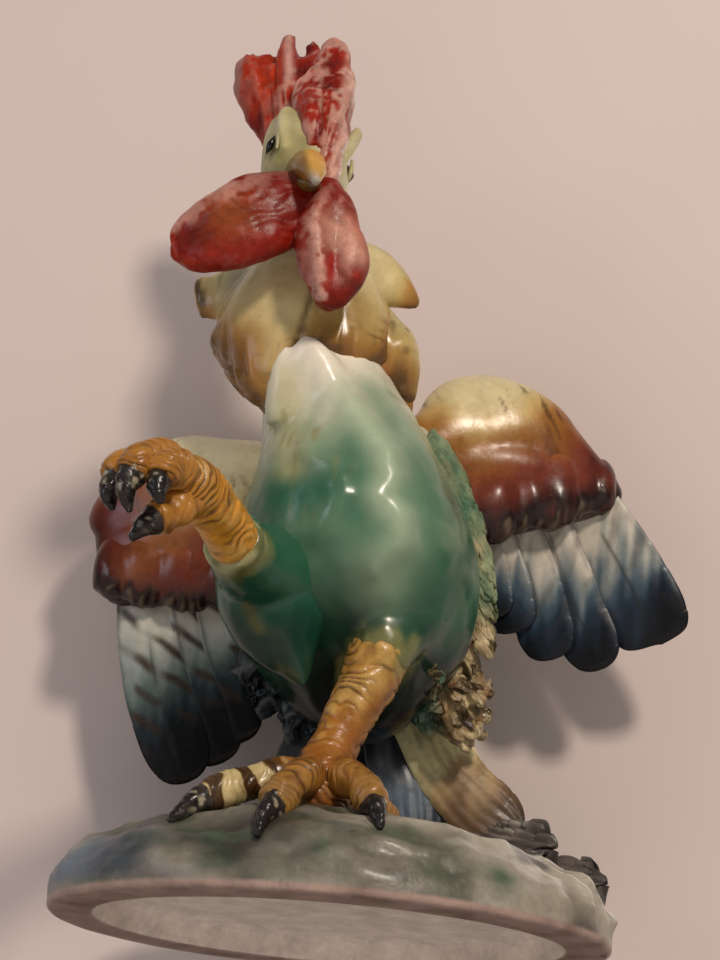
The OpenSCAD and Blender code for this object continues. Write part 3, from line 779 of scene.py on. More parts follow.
@dataclass(frozen=True)
class Glaze:
    """Fired glaze over painted colours.

    Attributes:
        slot: the record's slot.
        size: size of the mottling, mm.
        amount: strength of the mottling.
        low: least roughness.
        high: greatest roughness.
        coat: weight of the clear glaze on top.
        stroke: hex colour of the brush strokes.
        cover: how much of the surface the strokes take.
        along: length of the strokes, mm.
        across: width of the strokes, mm.
        ripple: depth of the glaze's ripples, mm.
        specks: strength of the dark pinholes.
        index: refractive index of the glaze.
    """

    slot: Slot
    size: float = 9.0
    amount: float = 0.16
    low: float = 0.16
    high: float = 0.34
    coat: float = 0.6
    stroke: str = "5a4a30"
    cover: float = 0.2
    along: float = 9.0
    across: float = 1.6
    ripple: float = 0.5
    specks: float = 0.25
    index: float = 1.42

    def material(self) -> bpy.types.Material:
        """Build the finish.

        Returns:
            The material.
        """
        mat = bpy.data.materials.new(self.slot.value)
        sheet = blank(mat)
        paint = sheet.add("ShaderNodeAttribute", attribute_name="paint").outputs["Color"]
        strokes = sheet.add(
            "ShaderNodeGroup", {"Colour": paint, "Stroke": (*tint(self.stroke), 1.0), "Along": self.along,
                                "Across": self.across, "Cover": self.cover}, node_tree=Groups.strokes)
        mottle = sheet.add("ShaderNodeGroup", {
            "Colour": strokes.outputs["Colour"], "Scale": 1.0 / (self.size * MM), "Amount": self.amount,
            "Low": self.low, "High": self.high, "Specks": self.specks}, node_tree=Groups.mottle)
        ripple = sheet.math("MULTIPLY", mottle.outputs["Height"], self.ripple * MM)
        worn = sheet.math("MULTIPLY", strokes.outputs["Mask"], -STROKE_DEPTH * MM)
        height = sheet.math("ADD", ripple, worn)
        bump = sheet.add("ShaderNodeBump", {"Height": height, "Strength": 1.0, "Distance": 1.0})
        shader = sheet.add("ShaderNodeBsdfPrincipled", {
            "Base Color": mottle.outputs["Colour"], "Roughness": mottle.outputs["Roughness"],
            "Normal": bump.outputs[0], "Coat Weight": self.coat, "Coat Roughness": 0.16,
            "Coat IOR": 1.4, "IOR": self.index})
        sheet.add("ShaderNodeOutputMaterial", {0: shader.outputs[0]})
        return mat


GLAZES = (
    Glaze(Slot.MOUND, size=9.0, amount=0.2, low=0.3, high=0.5, coat=0.15, stroke="3b3c35", cover=0.3,
          along=3.0, across=12.0, ripple=0.5, specks=0.15),
    Glaze(Slot.GREEN, size=18.0, amount=0.1, low=0.2, high=0.3, coat=0.15, stroke="4d5a3c", cover=0.12,
          along=18.0, across=1.6, ripple=0.3, specks=0.06),
    Glaze(Slot.LEG, size=5.0, amount=0.2, low=0.26, high=0.44, coat=0.2, stroke="6a3c12", cover=0.26,
          along=2.2, across=6.0, ripple=0.2),
    Glaze(Slot.CLAW, size=3.0, amount=0.4, low=0.22, high=0.5, coat=0.3, stroke="8d8470", cover=0.26,
          along=2.0, across=1.2, ripple=0.25),
    Glaze(Slot.HACKLE, size=12.0, amount=0.12, low=0.2, high=0.34, coat=0.25, stroke="6b6238", cover=0.16,
          along=3.0, across=7.0, ripple=0.25, specks=0.06),
    Glaze(Slot.CREAM, size=7.0, amount=0.1, low=0.32, high=0.5, coat=0.1, stroke="938b5c", cover=0.16,
          along=4.0, across=4.0, ripple=0.25, specks=0.06),
    Glaze(Slot.EYE, size=3.0, amount=0.3, low=0.14, high=0.26, coat=0.4, cover=0.0, ripple=0.05),
    Glaze(Slot.BEAK, size=5.0, amount=0.14, low=0.26, high=0.42, coat=0.2, stroke="7a5418", cover=0.2,
          along=6.0, across=2.0, ripple=0.2, specks=0.1),
    Glaze(Slot.RED, size=3.2, amount=0.22, low=0.28, high=0.44, coat=0.0, stroke="b98d80", cover=0.13,
          along=3.2, across=0.7, ripple=0.22, specks=0.15, index=1.3),
    Glaze(Slot.SHOULDER, size=9.0, amount=0.12, low=0.24, high=0.38, coat=0.1, stroke="5a3a1a", cover=0.22,
          along=7.0, across=0.7, ripple=0.25, specks=0.06),
    Glaze(Slot.OXBLOOD, size=8.0, amount=0.2, low=0.22, high=0.38, coat=0.2, stroke="2c0d0a", cover=0.18,
          along=8.0, across=1.1, ripple=0.2, specks=0.06),
    Glaze(Slot.FLIGHT, size=10.0, amount=0.14, low=0.22, high=0.34, coat=0.0, stroke="3c4144", cover=0.2,
          along=14.0, across=0.8, ripple=0.14, specks=0.1, index=1.3),
    Glaze(Slot.TAIL, size=7.0, amount=0.24, low=0.3, high=0.5, coat=0.1, stroke="2b2520", cover=0.22,
          along=16.0, across=0.9, ripple=0.2, specks=0.1),
    Glaze(Slot.TUFT, size=4.0, amount=0.3, low=0.28, high=0.55, coat=0.15, stroke="3a2d1a", cover=0.3,
          along=5.0, across=0.8, ripple=0.3),
)


class Workshop:
    """Turns meshes into dressed pieces on the frame."""

    def __init__(self) -> None:
        """Build every finish once."""
        Groups.build()
        self.materials = {g.slot: g.material() for g in GLAZES}

    def piece(self, name: str, skin: Skin, paint: Coat, slot: Slot, nodes: tuple[str, ...] = ()) -> None:
        """Make a piece, dress it and put it in place of its solids.

        Args:
            name: the piece's name.
            skin: its mesh.
            paint: its colours.
            slot: its finish.
            nodes: solids that it takes the place of, if not the one of its own name.
        """
        mesh = bpy.data.meshes.new(name)
        mesh.from_pydata((skin.points * MM).tolist(), [], skin.quads.tolist() + skin.tris.tolist())
        mesh.polygons.foreach_set("use_smooth", np.ones(len(mesh.polygons), dtype=bool))
        colour = mesh.attributes.new("paint", "FLOAT_COLOR", "POINT")
        rgba = np.pad(np.clip(paint.colour, 0.0, 1.0), ((0, 0), (0, 1)), constant_values=1.0)
        colour.data.foreach_set("color", rgba.astype(np.float32).ravel())
        for label in ("along", "across"):
            layer = mesh.attributes.new(label, "FLOAT", "POINT")
            layer.data.foreach_set("value", getattr(skin, label).astype(np.float32))
        mesh.materials.append(self.materials[slot])
        obj = add_object(name, mesh)
        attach(obj, "root")
        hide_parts(*(nodes or (name,)))
        LOG.info("%s: %d faces, %s", name, len(mesh.polygons), slot.value)


# The object's own pieces


@dataclass
class Mound:
    """Oval mound with a hollow underside and a bare foot ring."""

    half_length: float = 80.0
    half_depth: float = 60.0
    crest: float = 31.0
    foot: float = 13.0
    hollow: float = 8.0
    roll: float = 0.9
    stroke_out: float = 60.0
    stroke_round: float = 70.0

    def rise(self, share: Array, angle: Array) -> Array:
        """Give the surface's height.

        Args:
            share: share of the oval's radius.
            angle: angle round the oval, radians.

        Returns:
            Height, mm.
        """
        at = [0, 0.12, 0.28, 0.52, 0.75, 0.9, 0.985, 1]
        top = self.crest * np.interp(share, at, [1, 1, 0.985, 0.92, 0.76, 0.54, 0.26, 0.09])
        roll = self.roll * np.sin(3 * angle + math.radians(40)) * np.sin(
            math.pi * np.minimum(1, share / 0.985))
        return top + np.where(share > 0.12, roll, 0.0)

    def ground(self, x: float, y: float) -> float:
        """Give the surface's height under a point in mm."""
        u, v = x / self.half_length, y / self.half_depth
        return float(self.rise(np.array(min(1.0, math.hypot(u, v))), np.array(math.atan2(v, u))))

    def build(self, shop: Workshop) -> None:
        """Build and dress the base.

        Args:
            shop: maker of pieces.
        """
        n = 260
        a = np.arange(n) * TAU / n
        inner_l, inner_d = self.half_length - self.foot, self.half_depth - self.foot
        rows = [(inner_l * k, inner_d * k, z) for k, z in (
            (0.01, self.hollow), (0.3, self.hollow), (0.6, self.hollow), (0.82, self.hollow - 0.1),
            (0.9, self.hollow - 0.4), (0.95, 0.85 * self.hollow), (0.97, 0.7 * self.hollow),
            (0.99, 1.6), (0.997, 0.5), (1.006, 0.1), (1.03, 0.0))]
        rows += [(self.half_length + o, self.half_depth + o, z) for o, z in (
            (-6.0, 0.0), (-1.6, 0.0), (-0.7, 0.15), (-0.1, 0.7), (0.0, 1.6))]
        under = np.array(rows)
        shares = 1.0 - np.concatenate([np.linspace(0, 0.1, 14), np.linspace(0.115, 0.99, 60)])
        rings, part = [], []
        for l, d, z in under:
            rings.append(np.stack([l * np.cos(a), d * np.sin(a), np.full(n, z)], -1))
            part.append(0.0 if z > 0.3 and l < inner_l * 1.01 else 0.5)
        for s in shares:
            z = np.maximum(self.rise(np.full(n, s), a), 2.4)
            rings.append(np.stack([s * self.half_length * np.cos(a), s * self.half_depth * np.sin(a), z],
                                  -1))
            part.append(1.0)
        grid = Grid(np.array(rings), np.array(part)[:, None], a[None, :], 1.0, np.ones((len(part), 1)))
        top = np.array(part)[:, None] > 0.9
        p = grid.xyz
        swag = 1.0 - 2.0 * np.abs(noise(p, (19, 14, 9), 15))
        lumps = 1.7 * noise(p, (24, 17, 14), 11) + 1.2 * swag + 1.0 * noise(p, (7, 6, 4),
                                                                            12) + 0.3 * noise(p, 3.0, 16)
        folds = 1.3 * np.sin(grid.a * 34.0 + 2.5 * noise(p, 20.0, 13)) * ease(p[..., 0], 52.0, 70.0)
        grid.push(np.where(top, (lumps + folds) * ease(p[..., 2], 2.0, 9.0), 0.06 * noise(p, 9.0, 14)))
        skin = grid.skin()
        q = skin.points
        x, y, z = q.T
        angle = np.arctan2(y / self.half_depth, x / self.half_length)
        radius = np.hypot(x / self.half_length, y / self.half_depth)
        brushed = skin.share > 0.25
        skin.along = radius * self.stroke_out * brushed
        skin.across = angle * self.stroke_round * brushed
        dab = np.stack([angle * self.stroke_round / 15.0, radius * self.stroke_out / 3.4, z / 9.0], -1)
        level = 0.7 * noise(q, (18, 14, 9), 21) + 0.45 * noise(dab, 1.0, 22) + 0.25 * skin.relief
        paint = run(1.2 * level + 0.04 + 0.01 * x, [(-1.2, "2b2a24"), (-0.5, "4e4b41"), (0.0, "716b5e"),
                                                    (0.6, "958d7d"), (1.2, "afa797")])
        paint.lay("66788a", 0.7 * ease(-x, 44, 74) * blot(q, 14.0, 23, -0.4, 0.5))
        paint.lay("2d4132", 0.6 * blot(q, (16, 14, 7), 24, 0.25, 0.7))
        paint.lay("1f1d18", 0.8 * blot(dab, (1.3, 1.6, 1.3), 27, 0.2, 0.6))
        paint.lay("4f5c48", 0.6 * blot(dab, (0.9, 1.2, 1.1), 29, 0.1, 0.45) * ease(x, 48, 20))
        paint.lay("bdb5a5", 0.5 * blot(dab, (1.2, 1.1, 1.2), 30, 0.25, 0.65) * ease(x, -50, 10))
        # Painted shade: dark patches on the mound under the standing foot, its middle toe and the broken
        # tail feathers.
        paint.lay("211e19", 0.45 * spot(q, (-8, -36, 29), 16) + 0.55 * spot(q, (-15, -45, 14), 9)
                  + 0.8 * spot(q, (34, 26, 27), 24))
        paint.lay("b3aa9a", 0.5 * spot(q, (38, -45, 15), 9) + 0.5 * spot(q, (-5, -52, 9), 9))
        # Dark blue-grey at the left end: partly the glaze's own blue-grey, partly painted shade.
        paint.lay("39424e", 0.8 * spot(q, (-58, -40, 10), 13))
        paint.lay("1d4a31", 0.85 * spot(q, (44, -46, 10), 4.5) + 0.6 * spot(q, (-4, -56, 12), 4.0))
        paint.lay("9c9384", 0.55 * ease(z, 6.0, 3.0) * blot(dab, 0.8, 28, -0.6, 0.4))
        for limit, clay, stain, cell, seed, full in ((0.75, "a58b80", "8a7264", 7.0, 25, 0.8),
                                                     (0.25, "e2d2c4", "d8c6b6", 22.0, 26, 0.9)):
            part = skin.share < limit
            fired = Coat(np.tile(tint(clay), (int(part.sum()), 1)))
            fired.lay(stain, blot(q[part], cell, seed, 0.0, full))
            paint.colour[part] = fired.colour
        shop.piece("mound", skin, paint, Slot.MOUND, ("base",))


@dataclass
class Torso:
    """Cast body with its left thigh and rump, and the right thigh's pointed flap."""

    width: float = 38.0
    depth: float = 43.0
    breast_ridge: tuple = ((-19, 168), (-12, 155), (-2, 141), (4, 133), (6.5, 125), (4.5, 118), (10, 112),
                           (12, 106), (5, 98))
    keel_ridge: tuple = ((-18, 133), (-11, 127), (-8.5, 118), (-11, 108))

    def build(self, shop: Workshop) -> None:
        """Build and dress the torso and the right thigh.

        Args:
            shop: maker of pieces.
        """
        w, d = self.width, self.depth
        rows = [[4, 14, 62, .2 * w, .2 * d], [3, 13, 66, .38 * w, .38 * d], [2, 12, 73, .58 * w, .56 * d],
                [1, 9, 83, .82 * w, .77 * d], [-.5, 5, 94, .96 * w, .92 * d], [-1, 1, 106, w, d],
                [-2, -1, 119, .985 * w, .985 * d], [-3.5, -3, 132, .87 * w, .9 * d],
                [-5.5, -4, 145, .75 * w, .78 * d], [-9.5, -5, 157, .65 * w, .65 * d],
                [-13.5, -7, 167, .56 * w, .53 * d], [-16, -9, 175, .48 * w, .45 * d]]
        left = [[19, -2, 116, 14, 14], [16.5, -6, 106, 19, 19], [13, -12, 93, 16.5, 16.5],
                [10.4, -16.6, 85, 12, 12], [8.9, -18.8, 80, 10.6, 10.6], [7.6, -19.6, 76.4, 9.4, 9.4],
                [7, -19.8, 75, 8.6, 8.6]]
        rump = [[0, 16, 126, 22, 20], [3, 30, 114, 24, 20], [8, 41, 98, 21, 17], [13, 46, 82, 15, 12],
                [16, 47, 72, 8, 7]]
        bib = [[-15, -24, 148, 13, 7], [-18.5, -29, 160, 11, 5], [-21.4, -31.6, 168, 6, 3.4],
               [-22.6, -33, 173, .8, 1]]
        side_bib = [[-23, -24, 148, 10, 6], [-26, -28, 158, 7.5, 4.4], [-27.8, -30.6, 165, 4, 2.8],
                    [-28.2, -32, 170, .6, .8]]
        wing_root = [[6, 2, 148, 12, 12], [13, 5, 155, 9, 9], [18, 8, 158, 4, 5]]
        forms = [stack(rows, 90, 96)] + [limb(r, Axis.SIDE, 44, 48)
                                         for r in (left, rump, bib, side_bib, wing_root)]
        skin = fuse([f.skin() for f in forms], 1.1, 7)
        p = skin.points
        front = ease(-p[:, 1], -6.0, 14.0)
        flow = 1.0 * noise(p, (15, 17, 44), 31) + 0.5 * noise(p, (6, 7, 19), 32) + 0.2 * noise(p, 4.0, 33)
        breast = 2.6 * ridge(p, self.breast_ridge, 5.5) + 2.2 * ridge(p, self.keel_ridge, 5.0) - 0.8
        skin.push(flow * (0.5 + 0.5 * front) + breast * front)
        shop.piece("torso", skin, self.glaze(skin), Slot.GREEN, ("body", "left_thigh", "rump"))
        thigh = [[-16, -4, 122, 20, 16], [-21, -11, 109, 20, 18], [-24, -17, 95, 18, 17],
                 [-21, -21, 81, 13, 11.5], [-15.5, -24, 70, 5, 5], [-12.8, -25.4, 64.5, .6, .8]]
        collar = [[-18, -8, 108, 22, 20], [-23.6, -20, 100, 17.5, 17], [-29.4, -32, 97.6, 12.6, 12.6],
                  [-33.4, -41, 97, 9.8, 9.8], [-35.2, -45.6, 97.4, 8.6, 8.6], [-36, -47.6, 97.8, 9, 9],
                  [-36.6, -49, 98, 8, 8]]
        skin = fuse([limb(thigh, Axis.SIDE, 80, 72).skin(), limb(collar, Axis.RAISED, 50, 64).skin()], 0.9,
                    5)
        p = skin.points
        skin.push(0.6 * noise(p, (10, 10, 26), 45) + 0.25 * noise(p, (3, 3, 12), 46))
        paint = self.glaze(skin)
        q = skin.points
        x, y, z = q.T
        paint.lay("1a553f", 0.75 * ease(z, 118, 104) * ease(-y, 6, 18))
        # Painted shade: the flap darkens towards its lower point.
        paint.lay("0c281e", 0.9 * ease(z, 92, 76))
        near = np.linalg.norm(q - [-36.4, -48.6, 98], axis=1) + 1.5 * noise(q, 4.0, 44)
        paint.lay("6f7042", 0.8 * ease(near, 13.0, 10.0))
        paint.lay("b0ab7a", 0.7 * ease(near, 10.2, 9.0) * blot(q, 4.0, 48, -0.6, 0.4))
        paint.lay("4d4a22", 0.8 * ridge(q, [(-33, 88), (-24, 74), (-14, 64)], 1.8) * ease(-y, 10, 20)
                  * blot(q, 5.0, 49, -0.5, 0.3))
        # Painted shade along the flap's lower right edge.
        paint.lay("123c2d", 0.7 * ease(x, -19, -13) * ease(z, 92, 80))
        shop.piece("right_thigh", skin, paint, Slot.GREEN)

    def glaze(self, skin: Skin) -> Coat:
        """Let the body's glaze run from cream at the breast to dark green below, near black underneath
        where shade is painted in.

        Args:
            skin: mesh to colour, whose stroke directions are set too.

        Returns:
            Its colours.
        """
        p = skin.points
        x, y, z = p.T
        skin.along = z.copy()
        skin.across = x + 0.6 * y
        drift = 8.0 * noise(p, (14, 14, 30), 34) + 4.0 * noise(p, (5, 5, 16), 35)
        level = z + drift - 0.22 * np.clip(x + 8, -30, 40)
        # The two lowest stops, near black, are painted shade under the body.
        paint = run(
            level, [(60, "0c1613"), (72, "122c23"), (84, "2c5640"), (98, "4f775c"), (110, "5b7f64"),
                    (122, "5a7b61"), (134, "6e896e"), (146, "98a68a"), (158, "d6d2bb"), (172, "efe5d1")])
        deep = blot(p, (17, 17, 24), 36, 0.1, 0.55) * ease(z, 132, 104) * ease(z, 70, 84)
        paint.lay("1b5139", 0.75 * deep)
        paint.lay("1a5037", 0.8 * spot(p, (27, -20, 105), 13) + 0.7 * spot(p, (-27, -28, 120), 11))
        paint.lay("bdb27e", 0.6 * ridge(p, [(-27, 158), (-24, 134), (-23, 127)], 5.0) * ease(-y, 5, 20))
        streak = blot(p, (2.4, 2.4, 26), 37, 0.35, 0.7) * ease(z, 104, 122) * ease(z, 166, 142)
        paint.lay("8a8250", 0.6 * streak * ease(x, 6, -18))
        paint.lay("1f6045", 0.75 * ridge(p, [(-31, 122), (-22, 118), (-13, 119)], 5.5) * ease(-y, 5, 20))
        paint.lay("25624a", 0.6 * ridge(p, [(-5, 136), (-3, 122), (-2, 112)], 4.5) * ease(-y, 5, 20))
        # Pale glaze along the breast ridge, partly a painted highlight.
        paint.lay("bccaaa", 0.6 * ridge(p, self.breast_ridge, 5.5) * ease(z, 92, 112) * ease(z, 164, 146)
                  * ease(-y, 0, 20))
        # Painted highlight: a pale glow on the lower breast.
        paint.lay("a3b99a", 0.6 * spot(p, (7, -35, 95), 9))
        # Painted shade: near black under the body, between the thighs and the standing leg.
        paint.lay("09110f", 0.92 * ease(z + 0.4 * y, 84, 66) * ease(y, 44, 30) * ease(x, 13, -1))
        leg = gap_to(p, [(13, 93), (9.4, 82), (5, 69)]) + 2.0 * noise(p, (3, 3, 9), 47)
        paint.lay("7d7c4a", 0.8 * ease(leg, 12, 8) * ease(z + 5.0 * noise(p, (2.4, 2.4, 8), 48), 86,
                                                          79) * ease(-y, 4, 12))
        paint.lay("93a084", 0.6 * ease(x, 18, 30) * ease(z, 98, 114) * blot(p, 8.0, 40, -0.5, 0.4))
        paint.lay("1d5650", 0.8 * spot(p, (16, 42, 78), 18))
        back = ease(y, 8, 26) * blot(p, 11.0, 38, -0.3, 0.5)
        paint.lay("5a6650", 0.5 * back)
        return paint


@dataclass
class Foot:
    """Leg below the thigh, with four toes and their claws."""

    name: str
    shank: list
    shank_hint: Axis
    toes: dict[str, list]
    claws: list
    tones: Stops
    toe_tones: Stops
    shank_radius: float = 7.0
    toe_radius: float = 5.2
    claw_radius: float = 3.4
    scale_pitch: float = 2.5
    line_cover: float = 0.8

    def scutes(self, grid: Grid, depth: float, pitch: float, seed: int) -> Array:
        """Raise overlapping leg scales.

        Args:
            grid: loft to work on.
            depth: height of the scales, mm.
            pitch: length of a scale, mm.
            seed: number that picks the wobble.

        Returns:
            Depth of the lines between the scales at each point of the loft's mesh, 0 to 1.
        """
        wobble = 1.5 * noise(grid.xyz, 8.0, seed) + 0.4 * noise(grid.xyz, 3.0, seed + 3)
        phase = grid.u * grid.length / pitch + wobble + 0.3 * np.cos(grid.a)
        saw = phase - np.floor(phase)
        line = np.exp(-(np.minimum(saw, 1.0 - saw) / 0.14) ** 2)
        fade = ease(grid.u, 0.1, 0.24) * ease(grid.u, 1.0, 0.93) * blot(grid.xyz, 8.0, seed + 7, -0.9, 0.1)
        grid.push(depth * (0.45 - 0.8 * line + 0.4 * saw) * fade + 0.5 * noise(grid.xyz, 6.0, seed + 1)
                  + 0.2 * noise(grid.xyz, 2.4, seed + 2))
        return np.append((line * fade).ravel(), [0.0, 0.0])

    def build(self, shop: Workshop) -> None:
        """Build and dress the leg.

        Args:
            shop: maker of pieces.
        """
        rows = [[*place, share * self.shank_radius, share * self.shank_radius] for *place,
                share in self.shank]
        grid = limb(rows, self.shank_hint, 190, 72)
        dark = self.scutes(grid, 0.8, 3.4, 41)
        skin = grid.skin()
        p = skin.points
        paint = run(skin.share + 0.1 * noise(p, 8.0, 42), self.tones)
        paint.lay("7d4513", 0.7 * ease(skin.across, 1.5, 6.5) * blot(p, (9, 9, 16), 47, -0.3, 0.4)
                  * ease(skin.share, 0.2, 0.35))
        crease = dark ** 0.6 * blot(p, 6.0, 43, -0.5, 0.4) * ease(skin.share, 0.06, 0.3)
        paint.lay("3a1e09", 0.9 * crease)
        # Painted highlight: pale on the raised scales.
        paint.lay("d3ad62", 0.55 * ease(skin.relief, 0.1, 0.45) * blot(p, 7.0, 48, -0.3, 0.5))
        shop.piece(self.name + "_shank", skin, paint, Slot.LEG)
        for k, (toe, path) in enumerate(self.toes.items()):
            self.toe(shop, toe, path, 50 + 5 * k)
        self.talons(shop)

    def toe(self, shop: Workshop, toe: str, path: list, seed: int) -> None:
        """Build and dress one toe.

        Args:
            shop: maker of pieces.
            toe: which toe it is.
            path: its middle line, mm.
            seed: number that picks its wobble.
        """
        rows = []
        shares = np.linspace(0.0, 1.0, 13)
        for u, place in zip(shares, curve(path, shares * (len(path) - 1))):
            r = self.toe_radius * (1.04 - 0.2 * u) * (1 + 0.09 * math.cos(2.5 * TAU * u))
            r *= 0.72 if u == 1.0 else 1.0
            rows.append([*place, r, r])
        grid = limb(rows, Axis.TOE, 150, 52)
        dark = self.scutes(grid, 0.5, self.scale_pitch, seed)
        skin = grid.skin()
        p = skin.points
        paint = run(skin.share + 0.15 * noise(p, 6.0, seed + 2), self.toe_tones)
        paint.lay("42240b", self.line_cover * dark ** 0.6 * blot(p, 5.0, seed + 3, -0.5, 0.4))
        paint.lay("6b3d14", 0.45 * blot(p, 4.5, seed + 4, 0.2, 0.7))
        if (self.name, toe) == ("left", "inner"):
            bands = ease(np.sin(skin.along * TAU / 9.0 + 1.5 * noise(p, 6.0, 91)), -0.1, 0.4)
            paint.lay("d3c08a", 0.85 * bands * ease(skin.share, 0.3, 0.5))
            paint.lay("2e1c0e", 0.85 * (1 - bands) * ease(skin.share, 0.3, 0.5))
        label = f"{self.name}_{toe}_toe"
        shop.piece(label, skin, paint, Slot.LEG)

    def talons(self, shop: Workshop) -> None:
        """Build and dress the four claws as one piece.

        Args:
            shop: maker of pieces.
        """
        parts = []
        shares = np.linspace(0.0, 1.0, 9)
        for path in self.claws:
            rows = []
            for u, place in zip(shares, curve(path, shares * (len(path) - 1))):
                r = self.claw_radius * (1.1 - 0.92 * u ** 1.6) * (1.0 + 0.12 * math.exp(-(u / 0.14) ** 2))
                rows.append([*place, r, r * 0.92])
            grid = limb(rows, Axis.TOE, 44, 32)
            grid.push(0.35 * noise(grid.xyz, 2.0, 61) + 0.2 * noise(grid.xyz, 0.9, 64))
            parts.append(grid.skin())
        skin = join(parts)
        p = skin.points
        paint = run(skin.share + 0.15 * noise(p, 3.0, 62), [(0.0, "3a3029"), (0.14, "2a231e"),
                                                            (0.4, "1a1512"), (1.0, "110d0c")])
        paint.lay("b3a88f", 0.8 * blot(p, 1.7, 63, 0.3, 0.6) * ease(skin.share, 0.75, 0.3))
        if self.name == "left":
            paint.lay("d9d4c6", spot(p, (-38.5, -34, 17.5), 3.6))
        shop.piece(self.name + "_claws", skin, paint, Slot.CLAW)


def over_ground(mound: Mound, pairs: list, rises: list) -> list:
    """Lay a path over the mound, through pairs of x and y at rises above the ground, all in mm."""
    return [[x, y, mound.ground(x, y) + r] for (x, y), r in zip(pairs, rises)]


def standing_foot(mound: Mound) -> Foot:
    """Give the leg that the bird stands on.

    Args:
        mound: the base under it.

    Returns:
        The leg.
    """
    rows = [[11, -14, 90, 1.0], [8.4, -19, 80, 1.22], [5.4, -20, 70, 1.12], [1.5, -20.5, 60, 1.0],
            [-2.5, -21.5, 50, .95], [-5, -23, 42, 1.15], [-6, -24, 35, 1.25], [-6, -24, 29, 1.05]]
    toes = {
        "inner": over_ground(mound, [[-6, -22], [-15, -24], [-27, -29], [-38, -34]], [10, 9, 6.5, 4]),
        "middle": over_ground(mound, [[-6, -25], [-10, -33], [-14.5, -41], [-18, -47.5]], [8, 8.5, 6, 3.6]),
        "outer": over_ground(mound, [[-5, -24], [1, -31], [6, -38], [9, -44]], [8, 8.5, 7.5, 3.6]),
        "hind": over_ground(mound, [[-5, -22], [2, -14], [9, -5], [15, 3]], [9, 8, 5.5, 3.6])}
    claws = [over_ground(mound, [[-37, -33.5], [-41, -36], [-45.5, -38]], [4, 3.4, .8]),
             over_ground(mound, [[-17.5, -46.8], [-19.5, -50.5], [-21, -53.5]], [3.8, 3.4, .6]),
             over_ground(mound, [[8.7, -43.2], [10, -46.5], [11, -50]], [3.8, 3.4, .6]),
             over_ground(mound, [[14.5, 2.2], [17.5, 6], [20, 9.5]], [3.6, 3, .6])]
    tones = [(0.0, "6f7343"), (0.11, "8f8247"), (0.22, "b0853f"), (0.5, "a46c28"), (0.75, "965b1c"),
             (1.0, "7f4917")]
    toe_tones = [(0.0, "8a5319"), (0.35, "9c6726"), (0.75, "a47536"), (1.0, "8f6a34")]
    return Foot("left", rows, Axis.SIDE, toes, claws, tones, toe_tones)


def raised_foot() -> Foot:
    """Give the lifted leg with its curled toes."""
    rows = [[-27, -28, 95, .9], [-33, -40, 96.5, .98], [-37, -52, 98.5, 1.0], [-41.5, -63, 101, 1.0],
            [-46, -73, 102.5, 1.12], [-49.5, -81, 101, 1.0], [-51, -85, 100, .6]]
    toes = {"outer": [[-46, -74, 102], [-55.5, -82, 104], [-63, -87.5, 101.5], [-65.6, -90, 95.5]],
            "middle": [[-47, -77, 102], [-53.5, -86, 104], [-59, -92.5, 101.5], [-61, -95, 95.5]],
            "inner": [[-47, -76, 101], [-50, -86, 102], [-52.6, -92.5, 100], [-53.8, -95, 95]],
            "hind": [[-46, -74, 100], [-49, -80, 94.5], [-52.6, -84, 90], [-55, -85.6, 87.6]]}
    claws = [[[-65.4, -89.6, 96.5], [-66.6, -91.2, 92], [-64.8, -91.4, 87.2]],
             [[-60.8, -94.6, 96.5], [-61.8, -96.6, 91], [-60, -96.6, 85]],
             [[-53.6, -94.6, 96], [-53.6, -97.2, 92], [-52, -97.6, 87.6]],
             [[-54.6, -85.3, 88], [-57.2, -86.6, 85], [-59.8, -87.4, 80.8]]]
    tones = [(0.0, "a5813e"), (0.2, "cb9034"), (0.4, "d4922c"), (0.75, "cb8a29"), (1.0, "ae7424")]
    toe_tones = [(0.0, "ae7428"), (0.5, "b0782e"), (1.0, "9f6822")]
    return Foot("right", rows, Axis.RAISED, toes, claws, tones, toe_tones,
                scale_pitch=3.4, line_cover=0.5)


